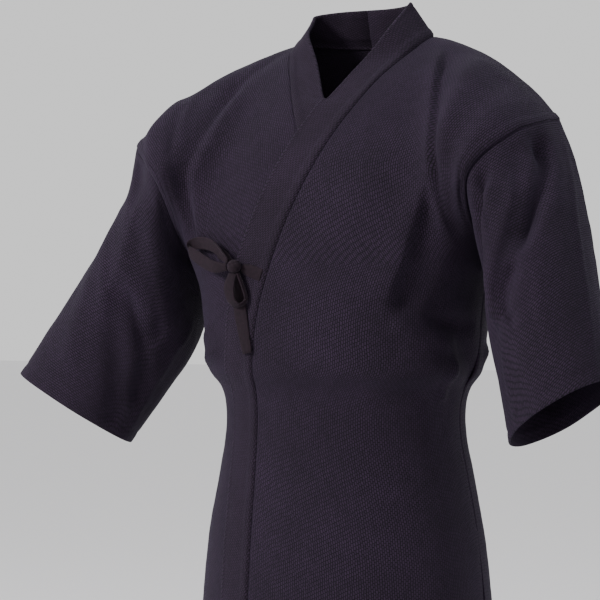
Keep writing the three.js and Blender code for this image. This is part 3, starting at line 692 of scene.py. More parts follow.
# Creases: places (across and down, or turn and along), half widths to each side, and height.
CREASES = {
    "front": (
        (
            [(0.45, 0.2), (0.49, 0.34), (0.52, 0.44), (0.57, 0.54), (0.63, 0.68), (0.69, 0.82), (0.78, 0.9)],
            14,
            4.5,
            -6.0,
        ),
        ([(0.46, 0.26), (0.5, 0.4), (0.54, 0.5), (0.61, 0.62), (0.66, 0.76)], 4, 4, -3.5),
        ([(0.41, 0.2), (0.45, 0.36), (0.49, 0.46), (0.55, 0.58), (0.61, 0.74)], 5, 12, 3.5),
        ([(0.78, 0.5), (0.81, 0.7), (0.85, 0.88)], 12, 8, -4.0),
        ([(0.6, 0.78), (0.5, 0.9), (0.44, 1.0), (0.42, 1.1)], 30, 7, -9.0),
        ([(0.54, 0.76), (0.42, 0.9), (0.36, 1.01), (0.33, 1.1)], 6, 22, 6.5),
        ([(0.36, 1.12), (0.56, 1.165), (0.8, 1.175)], 12, 7, 5.0),
        ([(0.36, 1.08), (0.6, 1.12), (0.95, 1.14)], 9, 8, -6.0),
        ([(0.78, 1.2), (0.75, 1.25), (0.78, 1.3)], 6, 9, 4.5),
        ([(-0.36, 0.14), (-0.43, 0.32), (-0.45, 0.44)], 12, 8, -3.0),
        (
            [(-0.46, 0.3), (-0.52, 0.44), (-0.6, 0.58), (-0.69, 0.7), (-0.65, 0.84), (-0.59, 0.96)],
            5,
            14,
            -7.5,
        ),
        ([(-0.4, 0.32), (-0.45, 0.46), (-0.52, 0.6), (-0.6, 0.72), (-0.56, 0.86), (-0.5, 0.98)], 14, 5, 3.5),
        ([(-0.74, 0.3), (-0.78, 0.46), (-0.79, 0.6)], 6, 10, -5.0),
        ([(-0.86, 0.6), (-0.88, 0.8), (-0.88, 1.0)], 6, 12, -4.0),
        ([(-0.5, 1.13), (-0.7, 1.17), (-0.92, 1.2)], 9, 6, 3.5),
        ([(-0.35, 1.19), (-0.6, 1.225), (-0.9, 1.235)], 8, 6, -4.5),
    ),
    "back": (
        ([(0.62, 0.2), (0.7, 0.5), (0.82, 0.85)], 5, 13, -6.0),
        ([(-0.6, 0.22), (-0.7, 0.48), (-0.84, 0.82)], 5, 12, -6.5),
        ([(0.5, 1.13), (0.7, 1.18), (0.94, 1.2)], 10, 6, 4.5),
        ([(-0.45, 1.12), (-0.68, 1.19), (-0.92, 1.21)], 6, 9, 4.5),
        ([(0.15, 1.05), (0.22, 1.16), (0.2, 1.27)], 12, 6, 4.0),
        ([(-0.2, 1.02), (-0.26, 1.15), (-0.22, 1.28)], 6, 12, 3.6),
        ([(0.3, 0.35), (0.1, 0.45), (-0.2, 0.42)], 10, 16, -3.0),
    ),
    "left sleeve": (
        ([(0.1, 0.04), (0.11, 0.15), (0.14, 0.25), (0.19, 0.34), (0.24, 0.42)], 9, 13, -19.0),
        ([(0.24, 0.05), (0.28, 0.1), (0.33, 0.15), (0.37, 0.22), (0.39, 0.3)], 7, 10, -15.0),
        ([(0.2, 0.12), (0.22, 0.22), (0.26, 0.31), (0.31, 0.4), (0.35, 0.48), (0.38, 0.58)], 7, 10, 5.5),
        ([(0.25, 0.44), (0.29, 0.5), (0.32, 0.57), (0.3, 0.66)], 10, 6, -7.0),
        ([(0.2, 0.5), (0.23, 0.66), (0.22, 0.84)], 12, 8, 2.0),
        ([(0.36, 0.66), (0.38, 0.82), (0.39, 0.98)], 9, 6, 3.0),
        ([(0.02, 0.02), (0.04, 0.2), (0.07, 0.4), (0.09, 0.66), (0.13, 0.98)], 4.5, 4.5, 2.2),
        ([(0.6, 0.12), (0.66, 0.35), (0.72, 0.6)], 7, 12, -6.5),
        ([(0.82, 0.12), (0.8, 0.4), (0.78, 0.75)], 12, 7, -4.5),
        ([(0.7, 0.5), (0.73, 0.7), (0.7, 0.92)], 7, 12, 3.5),
    ),
    "right sleeve": (
        ([(0.2, 0.06), (0.3, 0.09), (0.37, 0.11), (0.44, 0.13), (0.49, 0.2)], 9, 13, -2.0),
        ([(0.23, 0.14), (0.28, 0.28), (0.33, 0.4), (0.37, 0.5)], 15, 15, 6.0),
        ([(0.28, 0.46), (0.32, 0.51), (0.35, 0.56), (0.38, 0.63), (0.4, 0.73), (0.41, 0.84)], 9, 14, -8.0),
        ([(0.17, 0.4), (0.2, 0.47), (0.24, 0.56)], 7, 10, 2.5),
        ([(0.48, 0.26), (0.44, 0.48), (0.43, 0.83), (0.43, 0.95)], 6, 6, 2.6),
        ([(0.6, 0.12), (0.66, 0.4), (0.7, 0.66)], 7, 12, -6.5),
        ([(0.84, 0.12), (0.82, 0.4), (0.8, 0.7)], 12, 7, -4.5),
        ([(0.72, 0.5), (0.75, 0.72), (0.72, 0.94)], 7, 12, 3.5),
    ),
}


# How far a crease reaches past its ends and through the cloth, and the share of it that fades at an end.
CREASE_END = 14
CREASE_DEPTH = 18
CREASE_FADE = 0.22
CREASE_START = 0.06

# How much lower a crease is in places along its length, and how quickly those follow each other.
CREASE_UNEVEN = 0.2
CREASE_BEAT = 9

# The cuff is turned up and stitched this far from its edge, and the stitching sinks in.
CUFF_HEM = 13
CUFF_STITCH_WIDTH = 3
CUFF_STITCH_DIP = -0.7

# The collar's free edge is stitched too.
COLLAR_STITCH_IN = 4
COLLAR_STITCH_WIDTH = 1.2
COLLAR_STITCH_DIP = -0.5

# A sewn seam sinks in, and its allowance raises a strip of this width and height beside it.
SEAM_DIP = -0.9
SEAM_DIP_WIDTH = 1.3
ARMHOLE_ALLOWANCE = (11, 1.3)
COLLAR_ALLOWANCE = (10, 0.9)
ALLOWANCE_FROM = 0.6
ALLOWANCE_FULL = 2.4
ALLOWANCE_EDGE = 1.2

# Beside the armhole seam the creases fade away over this width.
HELD_BY_SEAM = 12

# Heights of the slow waves that worn cloth has all over, large and small, and how many are laid together.
LARGE_WAVE = 0.9
SMALL_WAVE = 0.35
COLLAR_WAVE = 0.5
WAVES = 7
WAVE_SIZES = (0.7, 1.6)
WAVE_STARTS = (0, 6.3)

# The waves begin this far from a seam, and have their full height this far from it.
CALM_TO = 2
WAVES_FROM = 30
UNDERARM_WAVES_FROM = 20
COLLAR_WAVES_FROM = 14


def crease_height(points, normals, place, creases):
    """How far the creases move each point outwards. Each crease fades in and out along its length."""
    height = np.zeros(points.shape[:-1])
    for places, left_width, right_width, peak in creases:
        places = np.array(places)
        fine = np.linspace(0, len(places) - 1, 4 * len(places))
        line = place(*(np.interp(fine, np.arange(len(places)), column) for column in places.T))
        share, _, offset, heading = nearest_on(points, line)
        across = np.cross(heading, normals)
        sideways = (offset * unit(across)).sum(-1)
        lengthwise = (offset * heading).sum(-1)
        width = np.where(sideways < 0, left_width, right_width)
        wave = 1 - CREASE_UNEVEN + CREASE_UNEVEN * np.cos(CREASE_BEAT * share + peak)
        into = ease(0, CREASE_FADE, share + CREASE_START)
        out_of = ease(0, CREASE_FADE, 1 + CREASE_START - share)
        fade = into * out_of * wave
        through = (offset * normals).sum(-1)
        spread = (sideways / width) ** 2 + (lengthwise / CREASE_END) ** 2 + (through / CREASE_DEPTH) ** 2
        height += peak * fade * np.exp(-spread)
    return height


def ripple(points, size, seed):
    """Slow uneven waves over the cloth, of about this size, between -1 and 1."""
    random = np.random.default_rng(seed)
    total = np.zeros(points.shape[:-1])
    for _ in range(WAVES):
        heading = unit(random.normal(size=3))
        length = size * random.uniform(*WAVE_SIZES)
        start = random.uniform(*WAVE_STARTS)
        total += np.sin(points @ heading * (2 * math.pi / length) + start)
    return total / WAVES


def distance_in(grid, from_end):
    """How far each point of a row is from its first or last point, along the cloth."""
    steps = np.linalg.norm(np.diff(grid, axis=1), axis=-1)
    walk = np.concatenate([np.zeros((len(grid), 1)), np.cumsum(steps, 1)], 1)
    return walk[:, -1:] - walk if from_end else walk


def distance_down(grid, start_row):
    """How far each point of a column is from the start row, along the cloth."""
    steps = np.linalg.norm(np.diff(grid, axis=0), axis=-1)
    walk = np.concatenate([np.zeros((1, grid.shape[1])), np.cumsum(steps, 0)], 0)
    return walk - walk[start_row]


def seam_dip(distance):
    """A sewn seam pulls the cloth in beside it."""
    return SEAM_DIP * np.exp(-((distance / SEAM_DIP_WIDTH) ** 2))


def allowance(distance, width, height):
    """The seam allowance pressed flat under the cloth raises a strip beside its seam."""
    rise = ease(ALLOWANCE_FROM, ALLOWANCE_FULL, distance)
    fall = ease(width - ALLOWANCE_EDGE, width + ALLOWANCE_EDGE, distance)
    return height * rise * (1 - fall)


def build_object(name, vertices, faces, uv, material):
    """A smooth piece on the part's one body, from millimetre points and the cloth place of each corner."""
    mesh = bpy.data.meshes.new(name)
    mesh.from_pydata((vertices * MM).tolist(), [], faces)
    layer = mesh.uv_layers.new(name="cloth")
    layer.data.foreach_set("uv", (uv * MM).astype(np.float32).ravel())
    mesh.polygons.foreach_set("use_smooth", np.ones(len(faces), bool))
    mesh.materials.append(material)
    shape = bmesh.new()
    shape.from_mesh(mesh)
    bmesh.ops.recalc_face_normals(shape, faces=shape.faces)
    shape.to_mesh(mesh)
    shape.free()
    piece = bpy.data.objects.new(name, mesh)
    bpy.context.collection.objects.link(piece)
    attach(piece, "root")
    return piece


# Places of the rows round an edge, from the outer face to the inner, and how far a sewn edge stands out.
RIM_ANGLES = (math.pi / 4, math.pi / 2, 3 * math.pi / 4)
RIM_ROWS = len(RIM_ANGLES)
SEWN_EDGE = 0.25


def rim(outer, inner, bulge):
    """Rows that round off an edge between the outer and the inner points of it."""
    middle = (outer + inner) / 2
    half = (outer - inner) / 2
    return [middle + half * math.cos(angle) + bulge * math.sin(angle) for angle in RIM_ANGLES]


def shell(name, outer, normals, wall, uv, material, wrap=False, round_edges=()):
    """A closed thin shell on a grid of outer points. Rounded edges stand out by half the wall.

    uv holds the place of each grid point on the flat cloth, in millimetres along and across its weave."""
    inner = outer - normals * wall
    rows, columns = outer.shape[:2]
    if wrap:
        inner[:, -1] = inner[:, 0]
    half = wall / 2

    def bulge(edge, from_line, to_line):
        return unit(to_line - from_line) * (half if edge in round_edges else SEWN_EDGE)

    first_rows = rim(outer[0], inner[0], bulge("first row", outer[1], outer[0]))
    last_rows = rim(outer[-1], inner[-1], bulge("last row", outer[-2], outer[-1]))
    loop = np.concatenate([outer, last_rows, inner[::-1], first_rows[::-1]])
    last_uv = np.repeat(uv[-1:], RIM_ROWS, 0)
    first_uv = np.repeat(uv[:1], RIM_ROWS, 0)
    loop_uv = np.concatenate([uv, last_uv, uv[::-1], first_uv])
    count = len(loop)
    index = np.arange(count * columns).reshape(count, columns)
    if wrap:
        index[:, -1] = index[:, 0]
    vertices = [loop.reshape(-1, 3)]
    following = np.roll(index, -1, 0)
    quads = np.stack([index[:, :-1], following[:, :-1], following[:, 1:], index[:, 1:]], -1).reshape(-1, 4)
    next_uv = np.roll(loop_uv, -1, 0)
    quad_uv = np.stack([loop_uv[:, :-1], next_uv[:, :-1], next_uv[:, 1:], loop_uv[:, 1:]], -2)
    faces = [quads]
    face_uv = [quad_uv.reshape(-1, 4, 2)]
    ends = []
    end_uv = []
    if not wrap:
        base = count * columns
        for edge, column, neighbour in (("first column", 0, 1), ("last column", -1, -2)):
            ring = index[:rows, column]
            inner_ring = index[rows + RIM_ROWS : 2 * rows + RIM_ROWS, column][::-1]
            swell = bulge(edge, outer[:, neighbour], outer[:, column])
            mids = rim(outer[:, column], inner[:, column], swell)
            lines = [ring]
            for mid in mids:
                vertices.append(mid)
                lines.append(np.arange(base, base + rows))
                base += rows
            lines.append(inner_ring)
            strip = np.array(lines)
            flat_uv = np.repeat(uv[None, :, column], len(lines), 0)
            corners = [strip[:-1, :-1], strip[:-1, 1:], strip[1:, 1:], strip[1:, :-1]]
            corner_uv = [flat_uv[:-1, :-1], flat_uv[:-1, 1:], flat_uv[1:, 1:], flat_uv[1:, :-1]]
            faces.append(np.stack(corners, -1).reshape(-1, 4))
            face_uv.append(np.stack(corner_uv, -2).reshape(-1, 4, 2))
            first_end = index[[0, -1, -2, -3, 2 * rows + RIM_ROWS - 1], column]
            last_end = index[rows - 1 : rows + RIM_ROWS + 1, column]
            for end, row in ((first_end, 0), (last_end, -1)):
                ends.append([*end, *strip[RIM_ROWS:0:-1, row]])
                end_uv.append(np.repeat(uv[row : row + 1 or None, column], len(ends[-1]), 0))
    corner_uv = np.concatenate([np.concatenate(face_uv).reshape(-1, 2), *end_uv])
    corner_lists = np.concatenate(faces).tolist() + [[int(corner) for corner in end] for end in ends]
    return build_object(name, np.concatenate(vertices), corner_lists, corner_uv, material)


def srgb(text):
    """A colour that was read as an sRGB hex value, in linear light."""
    shares = [int(text[at : at + 2], 16) / 255 for at in (0, 2, 4)]
    return (*[s / 12.92 if s <= 0.04045 else ((s + 0.055) / 1.055) ** 2.4 for s in shares], 1.0)


def add(tree, kind, settings=None, inputs=None):
    """Adds a node, sets its properties, and links or sets its inputs."""
    node = tree.nodes.new(kind)
    for name, value in (settings or {}).items():
        setattr(node, name, value)
    for name, value in (inputs or {}).items():
        if isinstance(value, bpy.types.NodeSocket):
            tree.links.new(value, node.inputs[name])
        else:
            node.inputs[name].default_value = value
    return node


def new_material(name):
    material = bpy.data.materials.new(name)
    material.use_nodes = True
    material.node_tree.nodes.clear()
    return material, material.node_tree


def quilted_cotton(name, grain_long, grain_wide, dark, light, turn=0.0, relief=0.55):
    """Rows of plump stitched grains, set like bricks, in faded indigo yarn."""
    material, tree = new_material(name)
    uv = add(tree, "ShaderNodeUVMap", {"uv_map": "cloth"})
    weave = add(
        tree,
        "ShaderNodeMapping",
        None,
        {"Vector": uv.outputs["UV"], "Scale": (1 / MM, 1 / MM, 1), "Rotation": (0, 0, turn)},
    )
    # The rows of grains waver by a millimetre or so, over waves about 11 mm long.
    waver = add(
        tree,
        "ShaderNodeTexNoise",
        {"noise_dimensions": "2D"},
        {"Vector": weave.outputs["Vector"], "Scale": 0.09, "Detail": 2.0},
    )
    shifted = add(
        tree,
        "ShaderNodeVectorMath",
        {"operation": "MULTIPLY_ADD"},
        {0: waver.outputs["Color"], 1: (2.4, 2.4, 0), 2: weave.outputs["Vector"]},
    )
    # One brick is one grain, with the dark ground yarn as its mortar.
    grains = add(
        tree,
        "ShaderNodeTexBrick",
        {"offset": 0.5, "offset_frequency": 2},
        {
            "Vector": shifted.outputs["Vector"],
            "Color1": (1, 1, 1, 1),
            "Color2": (0.6, 0.6, 0.6, 1),
            "Mortar": (0, 0, 0, 1),
            "Scale": 1.0,
            "Mortar Size": 0.62,
            "Mortar Smooth": 1.0,
            "Bias": -0.2,
            "Brick Width": grain_long,
            "Row Height": grain_wide,
        },
    )
    plump = add(tree, "ShaderNodeMath", {"operation": "SUBTRACT"}, {0: 1.0, 1: grains.outputs["Fac"]})
    # Single yarns, under a millimetre across, roughen each grain.
    yarn = add(
        tree,
        "ShaderNodeTexNoise",
        {"noise_dimensions": "2D"},
        {"Vector": weave.outputs["Vector"], "Scale": 1.5, "Detail": 3.0, "Roughness": 0.6},
    )
    # The indigo has faded unevenly, in patches about 80 mm across.
    fade = add(
        tree,
        "ShaderNodeTexNoise",
        {"noise_dimensions": "2D"},
        {"Vector": weave.outputs["Vector"], "Scale": 0.012, "Detail": 4.0, "Roughness": 0.55},
    )
    grain_tone = add(
        tree,
        "ShaderNodeMath",
        {"operation": "MULTIPLY"},
        {0: plump.outputs[0], 1: grains.outputs["Color"]},
    )
    yarn_tone = add(
        tree,
        "ShaderNodeMath",
        {"operation": "MULTIPLY_ADD"},
        {0: yarn.outputs["Fac"], 1: 0.9, 2: -0.45},
    )
    tone = add(
        tree,
        "ShaderNodeMath",
        {"operation": "ADD", "use_clamp": True},
        {0: grain_tone.outputs[0], 1: yarn_tone.outputs[0]},
    )
    cloth = add(
        tree,
        "ShaderNodeMixRGB",
        None,
        {"Fac": tone.outputs[0], "Color1": srgb(dark), "Color2": srgb(light)},
    )
    fade_share = add(
        tree,
        "ShaderNodeMapRange",
        None,
        {"Value": fade.outputs["Fac"], "From Min": 0.3, "From Max": 0.7, "To Min": 0.86, "To Max": 1.14},
    )
    faded = add(
        tree,
        "ShaderNodeVectorMath",
        {"operation": "SCALE"},
        {0: cloth.outputs["Color"], "Scale": fade_share.outputs["Result"]},
    )
    height = add(
        tree,
        "ShaderNodeMath",
        {"operation": "MULTIPLY_ADD"},
        {0: yarn.outputs["Fac"], 1: 0.35, 2: plump.outputs[0]},
    )
    bump = add(
        tree,
        "ShaderNodeBump",
        None,
        {"Strength": 0.9, "Distance": relief * MM, "Height": height.outputs[0]},
    )
    cotton = add(
        tree,
        "ShaderNodeBsdfPrincipled",
        None,
        {
            "Base Color": faded.outputs["Vector"],
            "Roughness": 0.88,
            "Specular IOR Level": 0.16,
            "Sheen Weight": 0.06,
            "Sheen Roughness": 0.5,
            "Sheen Tint": srgb("8f88b4"),
            "Normal": bump.outputs["Normal"],
        },
    )
    add(tree, "ShaderNodeOutputMaterial", None, {"Surface": cotton.outputs["BSDF"]})
    return material


def plain_cotton(name, dark, light):
    """Closely woven plain cotton: fine crossed threads, a little redder than the quilting."""
    material, tree = new_material(name)
    uv = add(tree, "ShaderNodeUVMap", {"uv_map": "cloth"})
    weave = add(
        tree,
        "ShaderNodeMapping",
        None,
        {"Vector": uv.outputs["UV"], "Scale": (1 / MM, 1 / MM, 1)},
    )
    # Threads 0.7 mm apart, drawn twice as coarse as real ones so that they show.
    threads = add(
        tree,
        "ShaderNodeTexBrick",
        {"offset": 0.5, "offset_frequency": 2},
        {
            "Vector": weave.outputs["Vector"],
            "Color1": (1, 1, 1, 1),
            "Color2": (0.7, 0.7, 0.7, 1),
            "Mortar": (0, 0, 0, 1),
            "Scale": 1.0,
            "Mortar Size": 0.16,
            "Mortar Smooth": 1.0,
            "Brick Width": 1.4,
            "Row Height": 0.7,
        },
    )
    fade = add(
        tree,
        "ShaderNodeTexNoise",
        {"noise_dimensions": "2D"},
        {"Vector": weave.outputs["Vector"], "Scale": 0.25, "Detail": 3.0},
    )
    tone = add(
        tree,
        "ShaderNodeMath",
        {"operation": "MULTIPLY"},
        {0: fade.outputs["Fac"], 1: threads.outputs["Color"]},
    )
    cloth = add(
        tree,
        "ShaderNodeMixRGB",
        None,
        {"Fac": tone.outputs[0], "Color1": srgb(dark), "Color2": srgb(light)},
    )
    bump = add(
        tree,
        "ShaderNodeBump",
        {"invert": True},
        {"Strength": 0.6, "Distance": 0.15 * MM, "Height": threads.outputs["Fac"]},
    )
    cotton = add(
        tree,
        "ShaderNodeBsdfPrincipled",
        None,
        {
            "Base Color": cloth.outputs["Color"],
            "Roughness": 0.85,
            "Specular IOR Level": 0.16,
            "Sheen Weight": 0.06,
            "Sheen Roughness": 0.5,
            "Sheen Tint": srgb("a79ab4"),
            "Normal": bump.outputs["Normal"],
        },
    )
    add(tree, "ShaderNodeOutputMaterial", None, {"Surface": cotton.outputs["BSDF"]})
    return material


# Heavy rice-grain quilting in indigo: the eye gets staggered pale flecks on a dark violet-blue ground.
QUILTED = quilted_cotton(
    "indigo rice-grain quilted cotton", grain_long=4.2, grain_wide=2.6, dark="07050a", light="291d2e"
)
# The same quilting cut for the collar: the eye gets closer, flatter flecks in rows at a slant to the band.
COLLAR_CLOTH = quilted_cotton(
    "indigo quilted collar cotton",
    grain_long=3.9,
    grain_wide=2.4,
    dark="07050a",
    light="291d2d",
    turn=0.5,
    relief=0.45,
)
# Plain woven cotton tape: the eye gets a smoother and redder strip than the quilting.
TIE_CLOTH = plain_cotton("indigo plain woven cotton tape", dark="0c070c", light="281823")


def dress_side(side):
    """One half of the body with its sleeve and its half of the collar, sewn at their seams."""
    word = "left" if side > 0 else "right"
    body, across, down = body_grid(side)
    sleeve = sleeve_grid(side)
    collar = collar_grid(side, body)
    body_out = outwards(body, -side)
    sleeve_out = outwards(sleeve, -side, wrap=True)
    collar_out = outwards(collar, side)
    part_armhole(side, body, body_out, sleeve, sleeve_out)
    part_side_seam(side, body, body_out)
    part_collar(side, body, body_out, collar, collar_out)
    part_centre_back(side, body, body_out, collar, collar_out)
    collar += collar_out * COLLAR_PROUD
    body_cloth(side, word, body, body_out, across, down)
    sleeve_cloth(side, word, sleeve, sleeve_out)
    collar_cloth(word, collar, collar_out)


def body_cloth(side, word, body, body_out, across, down):
    """A body half with its folds, its slow waves, the armhole's allowance and the dips at its seams."""
    flat_in = distance_in(body, True)
    flat_down = distance_down(body, RIDGE_ROW)
    from_seam = distance_in(body, False)
    rows = np.arange(len(body))
    armhole_rows = ((rows >= FRONT_ARMPIT) & (rows <= BACK_ARMPIT))[:, None]
    slit_rows = (np.abs(down[:, 0]) > 1 + (SLIT_DROP - ARMPIT_DROP) / LOWER_LENGTH)[:, None]
    folds = {
        face: crease_height(body, body_out, placed(smooth_body, face), CREASES[face])
        for face in ("front", "back")
    }
    arm = crease_height(body, body_out, placed(sleeve_point, side), CREASES[word + " sleeve"])
    near_sleeve = ease(SHARED_FROM, 1, across) * (down < 1)
    height = np.where(IS_FRONT[:, None], folds["front"], folds["back"])
    height = height + arm * near_sleeve
    height = height * np.where(armhole_rows, ease(0, HELD_BY_SEAM, flat_in), 1)
    waves = LARGE_WAVE * ripple(body, size=70, seed=3) + SMALL_WAVE * ripple(body, size=24, seed=4)
    height = height + waves * (ease(CALM_TO, WAVES_FROM, flat_in) * ease(CALM_TO, WAVES_FROM, from_seam))
    height += np.where(armhole_rows, allowance(flat_in, *ARMHOLE_ALLOWANCE), 0)
    height += seam_dip(flat_in) * ~slit_rows + seam_dip(from_seam)
    piece = shell(
        f"body_{word}_cloth",
        body + body_out * height[..., None],
        body_out,
        WALL,
        np.stack([flat_down, side * flat_in], -1),
        QUILTED,
        round_edges=("first row", "last row"),
    )
    finish_sheet("body_" + word)


def sleeve_cloth(side, word, sleeve, sleeve_out):
    """A sleeve with its folds, its slow waves, the dip at the armhole and the stitching of its hem."""
    turn, along = np.meshgrid(SLEEVE_TURNS, SLEEVE_ALONG)
    near_body = 1 - ease(0, SHARED_TO, along)
    arm = crease_height(sleeve, sleeve_out, placed(sleeve_point, side), CREASES[word + " sleeve"])
    other = np.where(
        turn > 0,
        crease_height(sleeve, sleeve_out, placed(smooth_body, "front"), CREASES["front"]),
        crease_height(sleeve, sleeve_out, placed(smooth_body, "back"), CREASES["back"]),
    )
    sleeve_down = distance_down(sleeve, 0)
    around = distance_in(sleeve, False)
    top_column = len(SLEEVE_TURNS) // 2
    around = around - around[:, top_column : top_column + 1]
    underarm = np.abs(np.abs(around) - np.abs(around[:, -1:]))
    height = (arm + other * near_body) * ease(0, HELD_BY_SEAM, sleeve_down)
    waves = LARGE_WAVE * ripple(sleeve, size=60, seed=5) + SMALL_WAVE * ripple(sleeve, size=22, seed=6)
    height += waves * (ease(CALM_TO, WAVES_FROM, sleeve_down) * ease(0, UNDERARM_WAVES_FROM, underarm))
    height += seam_dip(sleeve_down)
    from_stitch = sleeve_down[-1] - sleeve_down - CUFF_HEM
    height += CUFF_STITCH_DIP * np.exp(-((from_stitch / CUFF_STITCH_WIDTH) ** 2))
    height[:, [0, -1]] = height[:, [0, -1]].mean(1, keepdims=True)
    outer = sleeve + sleeve_out * height[..., None]
    outer[:, -1] = outer[:, 0]
    piece = shell(
        f"sleeve_{word}_cloth",
        outer,
        sleeve_out,
        WALL,
        np.stack([around, sleeve_down], -1),
        QUILTED,
        wrap=True,
        round_edges=("last row",),
    )
    finish_sheet("sleeve_" + word)


def collar_cloth(word, collar, collar_out):
    """A collar half with its allowance, its slow waves and the stitching along its free edge."""
    over = distance_in(collar, False)
    free = distance_in(collar, True)
    height = allowance(over, *COLLAR_ALLOWANCE) + seam_dip(over)
    waves = COLLAR_WAVE * ripple(collar, size=40, seed=7)
    height = height + waves * ease(CALM_TO, COLLAR_WAVES_FROM, over)
    height += COLLAR_STITCH_DIP * np.exp(-(((free - COLLAR_STITCH_IN) / COLLAR_STITCH_WIDTH) ** 2))
    piece = shell(
        f"collar_{word}_cloth",
        collar + collar_out * height[..., None],
        collar_out,
        COLLAR_WALL,
        np.stack([distance_down(collar, len(collar) - 1), over], -1),
        COLLAR_CLOTH,
        round_edges=("last column", "first row"),
    )
    finish_sheet("collar_" + word)


def finish_sheet(node):
    """The sheet stands for its solid, which is hidden."""
    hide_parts(node)


# Stretches of the ties: places on the middle of the ribbon, the way its face looks, and its width share.
RIBBON_ROWS = "x y z face_x face_y face_z wide"
RIBBONS = {
    "tie_left": table(
        RIBBON_ROWS,
        (-70.6, -127.6, -267, 0, -1, 0, 0.6),
        (-60, -128, -270, -0.1, -1, 0, 0.95),
        (-46, -129.2, -275, -0.08, -1, 0, 1),
    ),
    "tie_right": table(
        RIBBON_ROWS,
        (-84.4, -127.9, -260.8, -0.3, -0.95, 0, 0.5),
        (-96, -117.5, -255, -0.4, -0.9, 0, 0.8),
        (-110, -107.3, -250, -0.36, -0.93, 0, 0.9),
    ),
    "bow_loop": table(
        RIBBON_ROWS,
        (-87.2, -132.5, -266, -0.3, -0.9, -0.3, 0.55),
        (-108, -127, -265, -0.35, -0.93, -0.1, 0.95),
        (-136, -112, -254, -0.45, -0.9, 0, 1),
        (-151, -101, -246, -1, -0.2, 0, 0.95),
        (-139, -102.5, -239, 0.45, 0.9, 0, 0.95),
        (-112, -118, -242, 0.4, 0.93, 0.1, 0.9),
        (-85.5, -133, -258.5, 0.2, 0.9, 0.4, 0.5),
    ),
    "bow_hanging_loop": table(
        RIBBON_ROWS,
        (-79.5, -134, -272.9, -0.2, -1, 0, 0.7),
        (-82, -137.5, -288, -0.2, -1, 0, 0.95),
        (-79.5, -136.5, -303, -0.3, -0.8, -0.4, 0.9),
        (-71, -133, -309, 0.3, -0.3, -0.9, 0.7),
        (-63.5, -130.5, -302, 0.95, 0.1, -0.3, 0.35),
        (-67, -130.5, -288, 0.95, 0.2, 0, 0.3),
        (-73.5, -131, -272.5, 0.9, 0.3, 0, 0.3),
    ),
    "bow_tail": table(
        RIBBON_ROWS,
        (-79, -126.8, -272.2, -0.15, -1, 0, 0.6),
        (-76.5, -126, -290, -0.15, -1, 0, 0.9),
        (-73, -126.4, -318, -0.15, -1, 0, 1.15),
        (-64.5, -127, -362, -0.15, -1, 0, 0.85),
    ),
}
# Places across a ribbon, steps between two of its rows, and how its face is cupped and gathered.
RIBBON_SHARES = np.array([-1, -0.9, -0.7, -0.4, 0, 0.4, 0.7, 0.9, 1])
RIBBON_MIDDLE = len(RIBBON_SHARES) // 2
RIBBON_STEPS = 14
RIBBON_CUP = 0.5
GATHER_DEPTH = 1.6
GATHER_WAVES = 7


def ribbon(node, rows):
    """A flat tape with selvedges, a little cupped, gathered into folds where it narrows."""
    count = len(rows["x"])
    fine = np.linspace(0, count - 1, (count - 1) * RIBBON_STEPS + 1)
    numbered = {"row": np.arange(count, dtype=float), **rows}
    at = between(numbered, "row", fine)
    middle = np.stack([at["x"], at["y"], at["z"]], -1)
    along = unit(np.gradient(middle, axis=0))
    face = np.stack([at["face_x"], at["face_y"], at["face_z"]], -1)
    face = unit(face - along * (face * along).sum(-1, keepdims=True))
    wide = np.cross(along, face)
    half = at["wide"][:, None] * TIE_WIDTH / 2
    pinch = 1 - np.clip(at["wide"][:, None], 0, 1)
    gather = GATHER_DEPTH * pinch * np.cos(RIBBON_SHARES * GATHER_WAVES)[None]
    cup = RIBBON_CUP * (RIBBON_SHARES**2)[None] + gather
    outer = (
        middle[:, None]
        + wide[:, None] * (half * RIBBON_SHARES)[..., None]
        + face[:, None] * (TIE_WALL / 2 - cup)[..., None]
    )
    normals = np.broadcast_to(face[:, None], outer.shape)
    length = distance_down(outer, 0)[:, RIBBON_MIDDLE]
    uv = np.stack(np.broadcast_arrays(length[:, None], half * RIBBON_SHARES), -1)
    piece = shell(
        node + "_tape",
        outer,
        normals,
        TIE_WALL,
        uv,
        TIE_CLOTH,
        round_edges=("first column", "last column"),
    )
    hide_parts(node)


def knot():
    """The tape wrapped round itself: a small plump knot with the wraps' edges showing."""
    centre = np.array([-78.0, -132.0, -265.0])
    halves = np.array([8.5, 7.0, 8.0])
    pole = 0.02
    polar_steps = np.linspace(pole, math.pi - pole, 48)
    polar, turn = np.meshgrid(polar_steps, np.linspace(0, 2 * math.pi, 65), indexing="ij")
    ball = stack(np.sin(polar) * np.cos(turn), np.sin(polar) * np.sin(turn), np.cos(polar))
    slant = ball @ unit(np.array([0.85, 0, 0.5]))
    second = ball @ unit(np.array([-0.4, 0.1, 0.9]))
    core = 0.93
    wrap_height = 0.05
    wraps_round = 5.5
    groove_depth = 0.09
    groove_place = 0.25
    groove_width = 0.1
    wraps = wrap_height * np.abs(np.sin(slant * wraps_round))
    wraps -= groove_depth * np.exp(-(((second - groove_place) / groove_width) ** 2))
    points = centre + ball * halves * (core + wraps)[..., None]
    rows, columns = polar.shape
    index = np.arange(rows * columns).reshape(rows, columns)
    quads = np.stack([index[:-1, :-1], index[1:, :-1], index[1:, 1:], index[:-1, 1:]], -1).reshape(-1, 4)
    uv = np.stack([turn * 8, polar * 8], -1).reshape(-1, 2)[quads].reshape(-1, 2)
    piece = build_object("bow_knot_tape", points.reshape(-1, 3), quads.tolist(), uv, TIE_CLOTH)
    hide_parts("bow_knot")


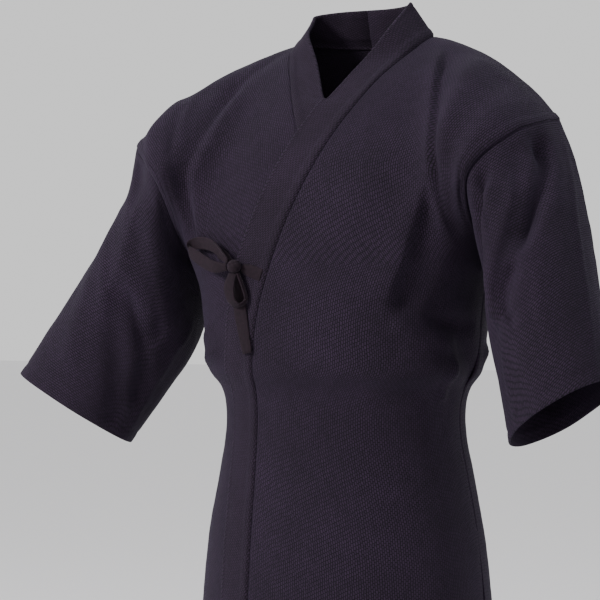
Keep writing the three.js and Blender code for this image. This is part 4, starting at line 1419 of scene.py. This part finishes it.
def area_light(name, place, size, power, colour):
    """A round soft lamp that looks at the jacket's middle."""
    light = bpy.data.lights.new(name, "AREA")
    light.shape = "DISK"
    light.size = size
    light.energy = power
    light.color = colour
    lamp = bpy.data.objects.new(name, light)
    lamp.location = place
    lamp.rotation_euler = (AIM - Vector(place)).to_track_quat("-Z", "Y").to_euler()
    bpy.context.collection.objects.link(lamp)


# The camera looks at the jacket from its own front left, level with the chest, as in the photo.
AIM = Vector((-0.048, -0.022, -0.304))
CAMERA_AZIMUTH = math.radians(25)
CAMERA_ELEVATION = math.radians(1)
CAMERA_DISTANCE = 3.0
FRAME_WIDTH = 0.69
SENSOR = 36.0


def set_camera():
    camera = bpy.data.cameras.new("photo_camera")
    camera.sensor_width = SENSOR
    camera.lens = SENSOR * CAMERA_DISTANCE / FRAME_WIDTH
    holder = bpy.data.objects.new("photo_camera", camera)
    level = math.cos(CAMERA_ELEVATION)
    back = Vector(
        (math.sin(CAMERA_AZIMUTH) * level, -math.cos(CAMERA_AZIMUTH) * level, math.sin(CAMERA_ELEVATION))
    )
    holder.location = AIM + back * CAMERA_DISTANCE
    holder.rotation_euler = (-back).to_track_quat("-Z", "Y").to_euler()
    bpy.context.collection.objects.link(holder)
    bpy.context.scene.camera = holder


def build_stage():
    """A plain pale floor under the jacket and soft studio light from above and to the front."""
    floor_drop = -0.95
    mesh = bpy.data.meshes.new("studio_floor")
    reach = 12.0
    corners = [(x * reach, y * reach, floor_drop) for x, y in ((-1, -1), (1, -1), (1, 1), (-1, 1))]
    mesh.from_pydata(corners, [], [(0, 1, 2, 3)])
    material, tree = new_material("pale studio floor")
    paint = add(tree, "ShaderNodeBsdfPrincipled", None, {"Base Color": srgb("e9e8ea"), "Roughness": 0.9})
    add(tree, "ShaderNodeOutputMaterial", None, {"Surface": paint.outputs["BSDF"]})
    mesh.materials.append(material)
    floor = bpy.data.objects.new("studio_floor", mesh)
    bpy.context.collection.objects.link(floor)
    world = bpy.data.worlds.new("studio")
    world.use_nodes = True
    world.node_tree.nodes["Background"].inputs["Color"].default_value = srgb("ffffff")
    world.node_tree.nodes["Background"].inputs["Strength"].default_value = 0.95
    bpy.context.scene.world = world
    area_light("key", (-1.5, -2.1, 0.9), 0.8, 95, (1, 0.98, 0.97))
    area_light("top", (0.8, 0.0, 2.0), 1.2, 16, (0.86, 0.9, 1))


set_camera()
build_stage()
for side in (LEFT, RIGHT):
    dress_side(side)
for node, rows in RIBBONS.items():
    ribbon(node, rows)
knot()
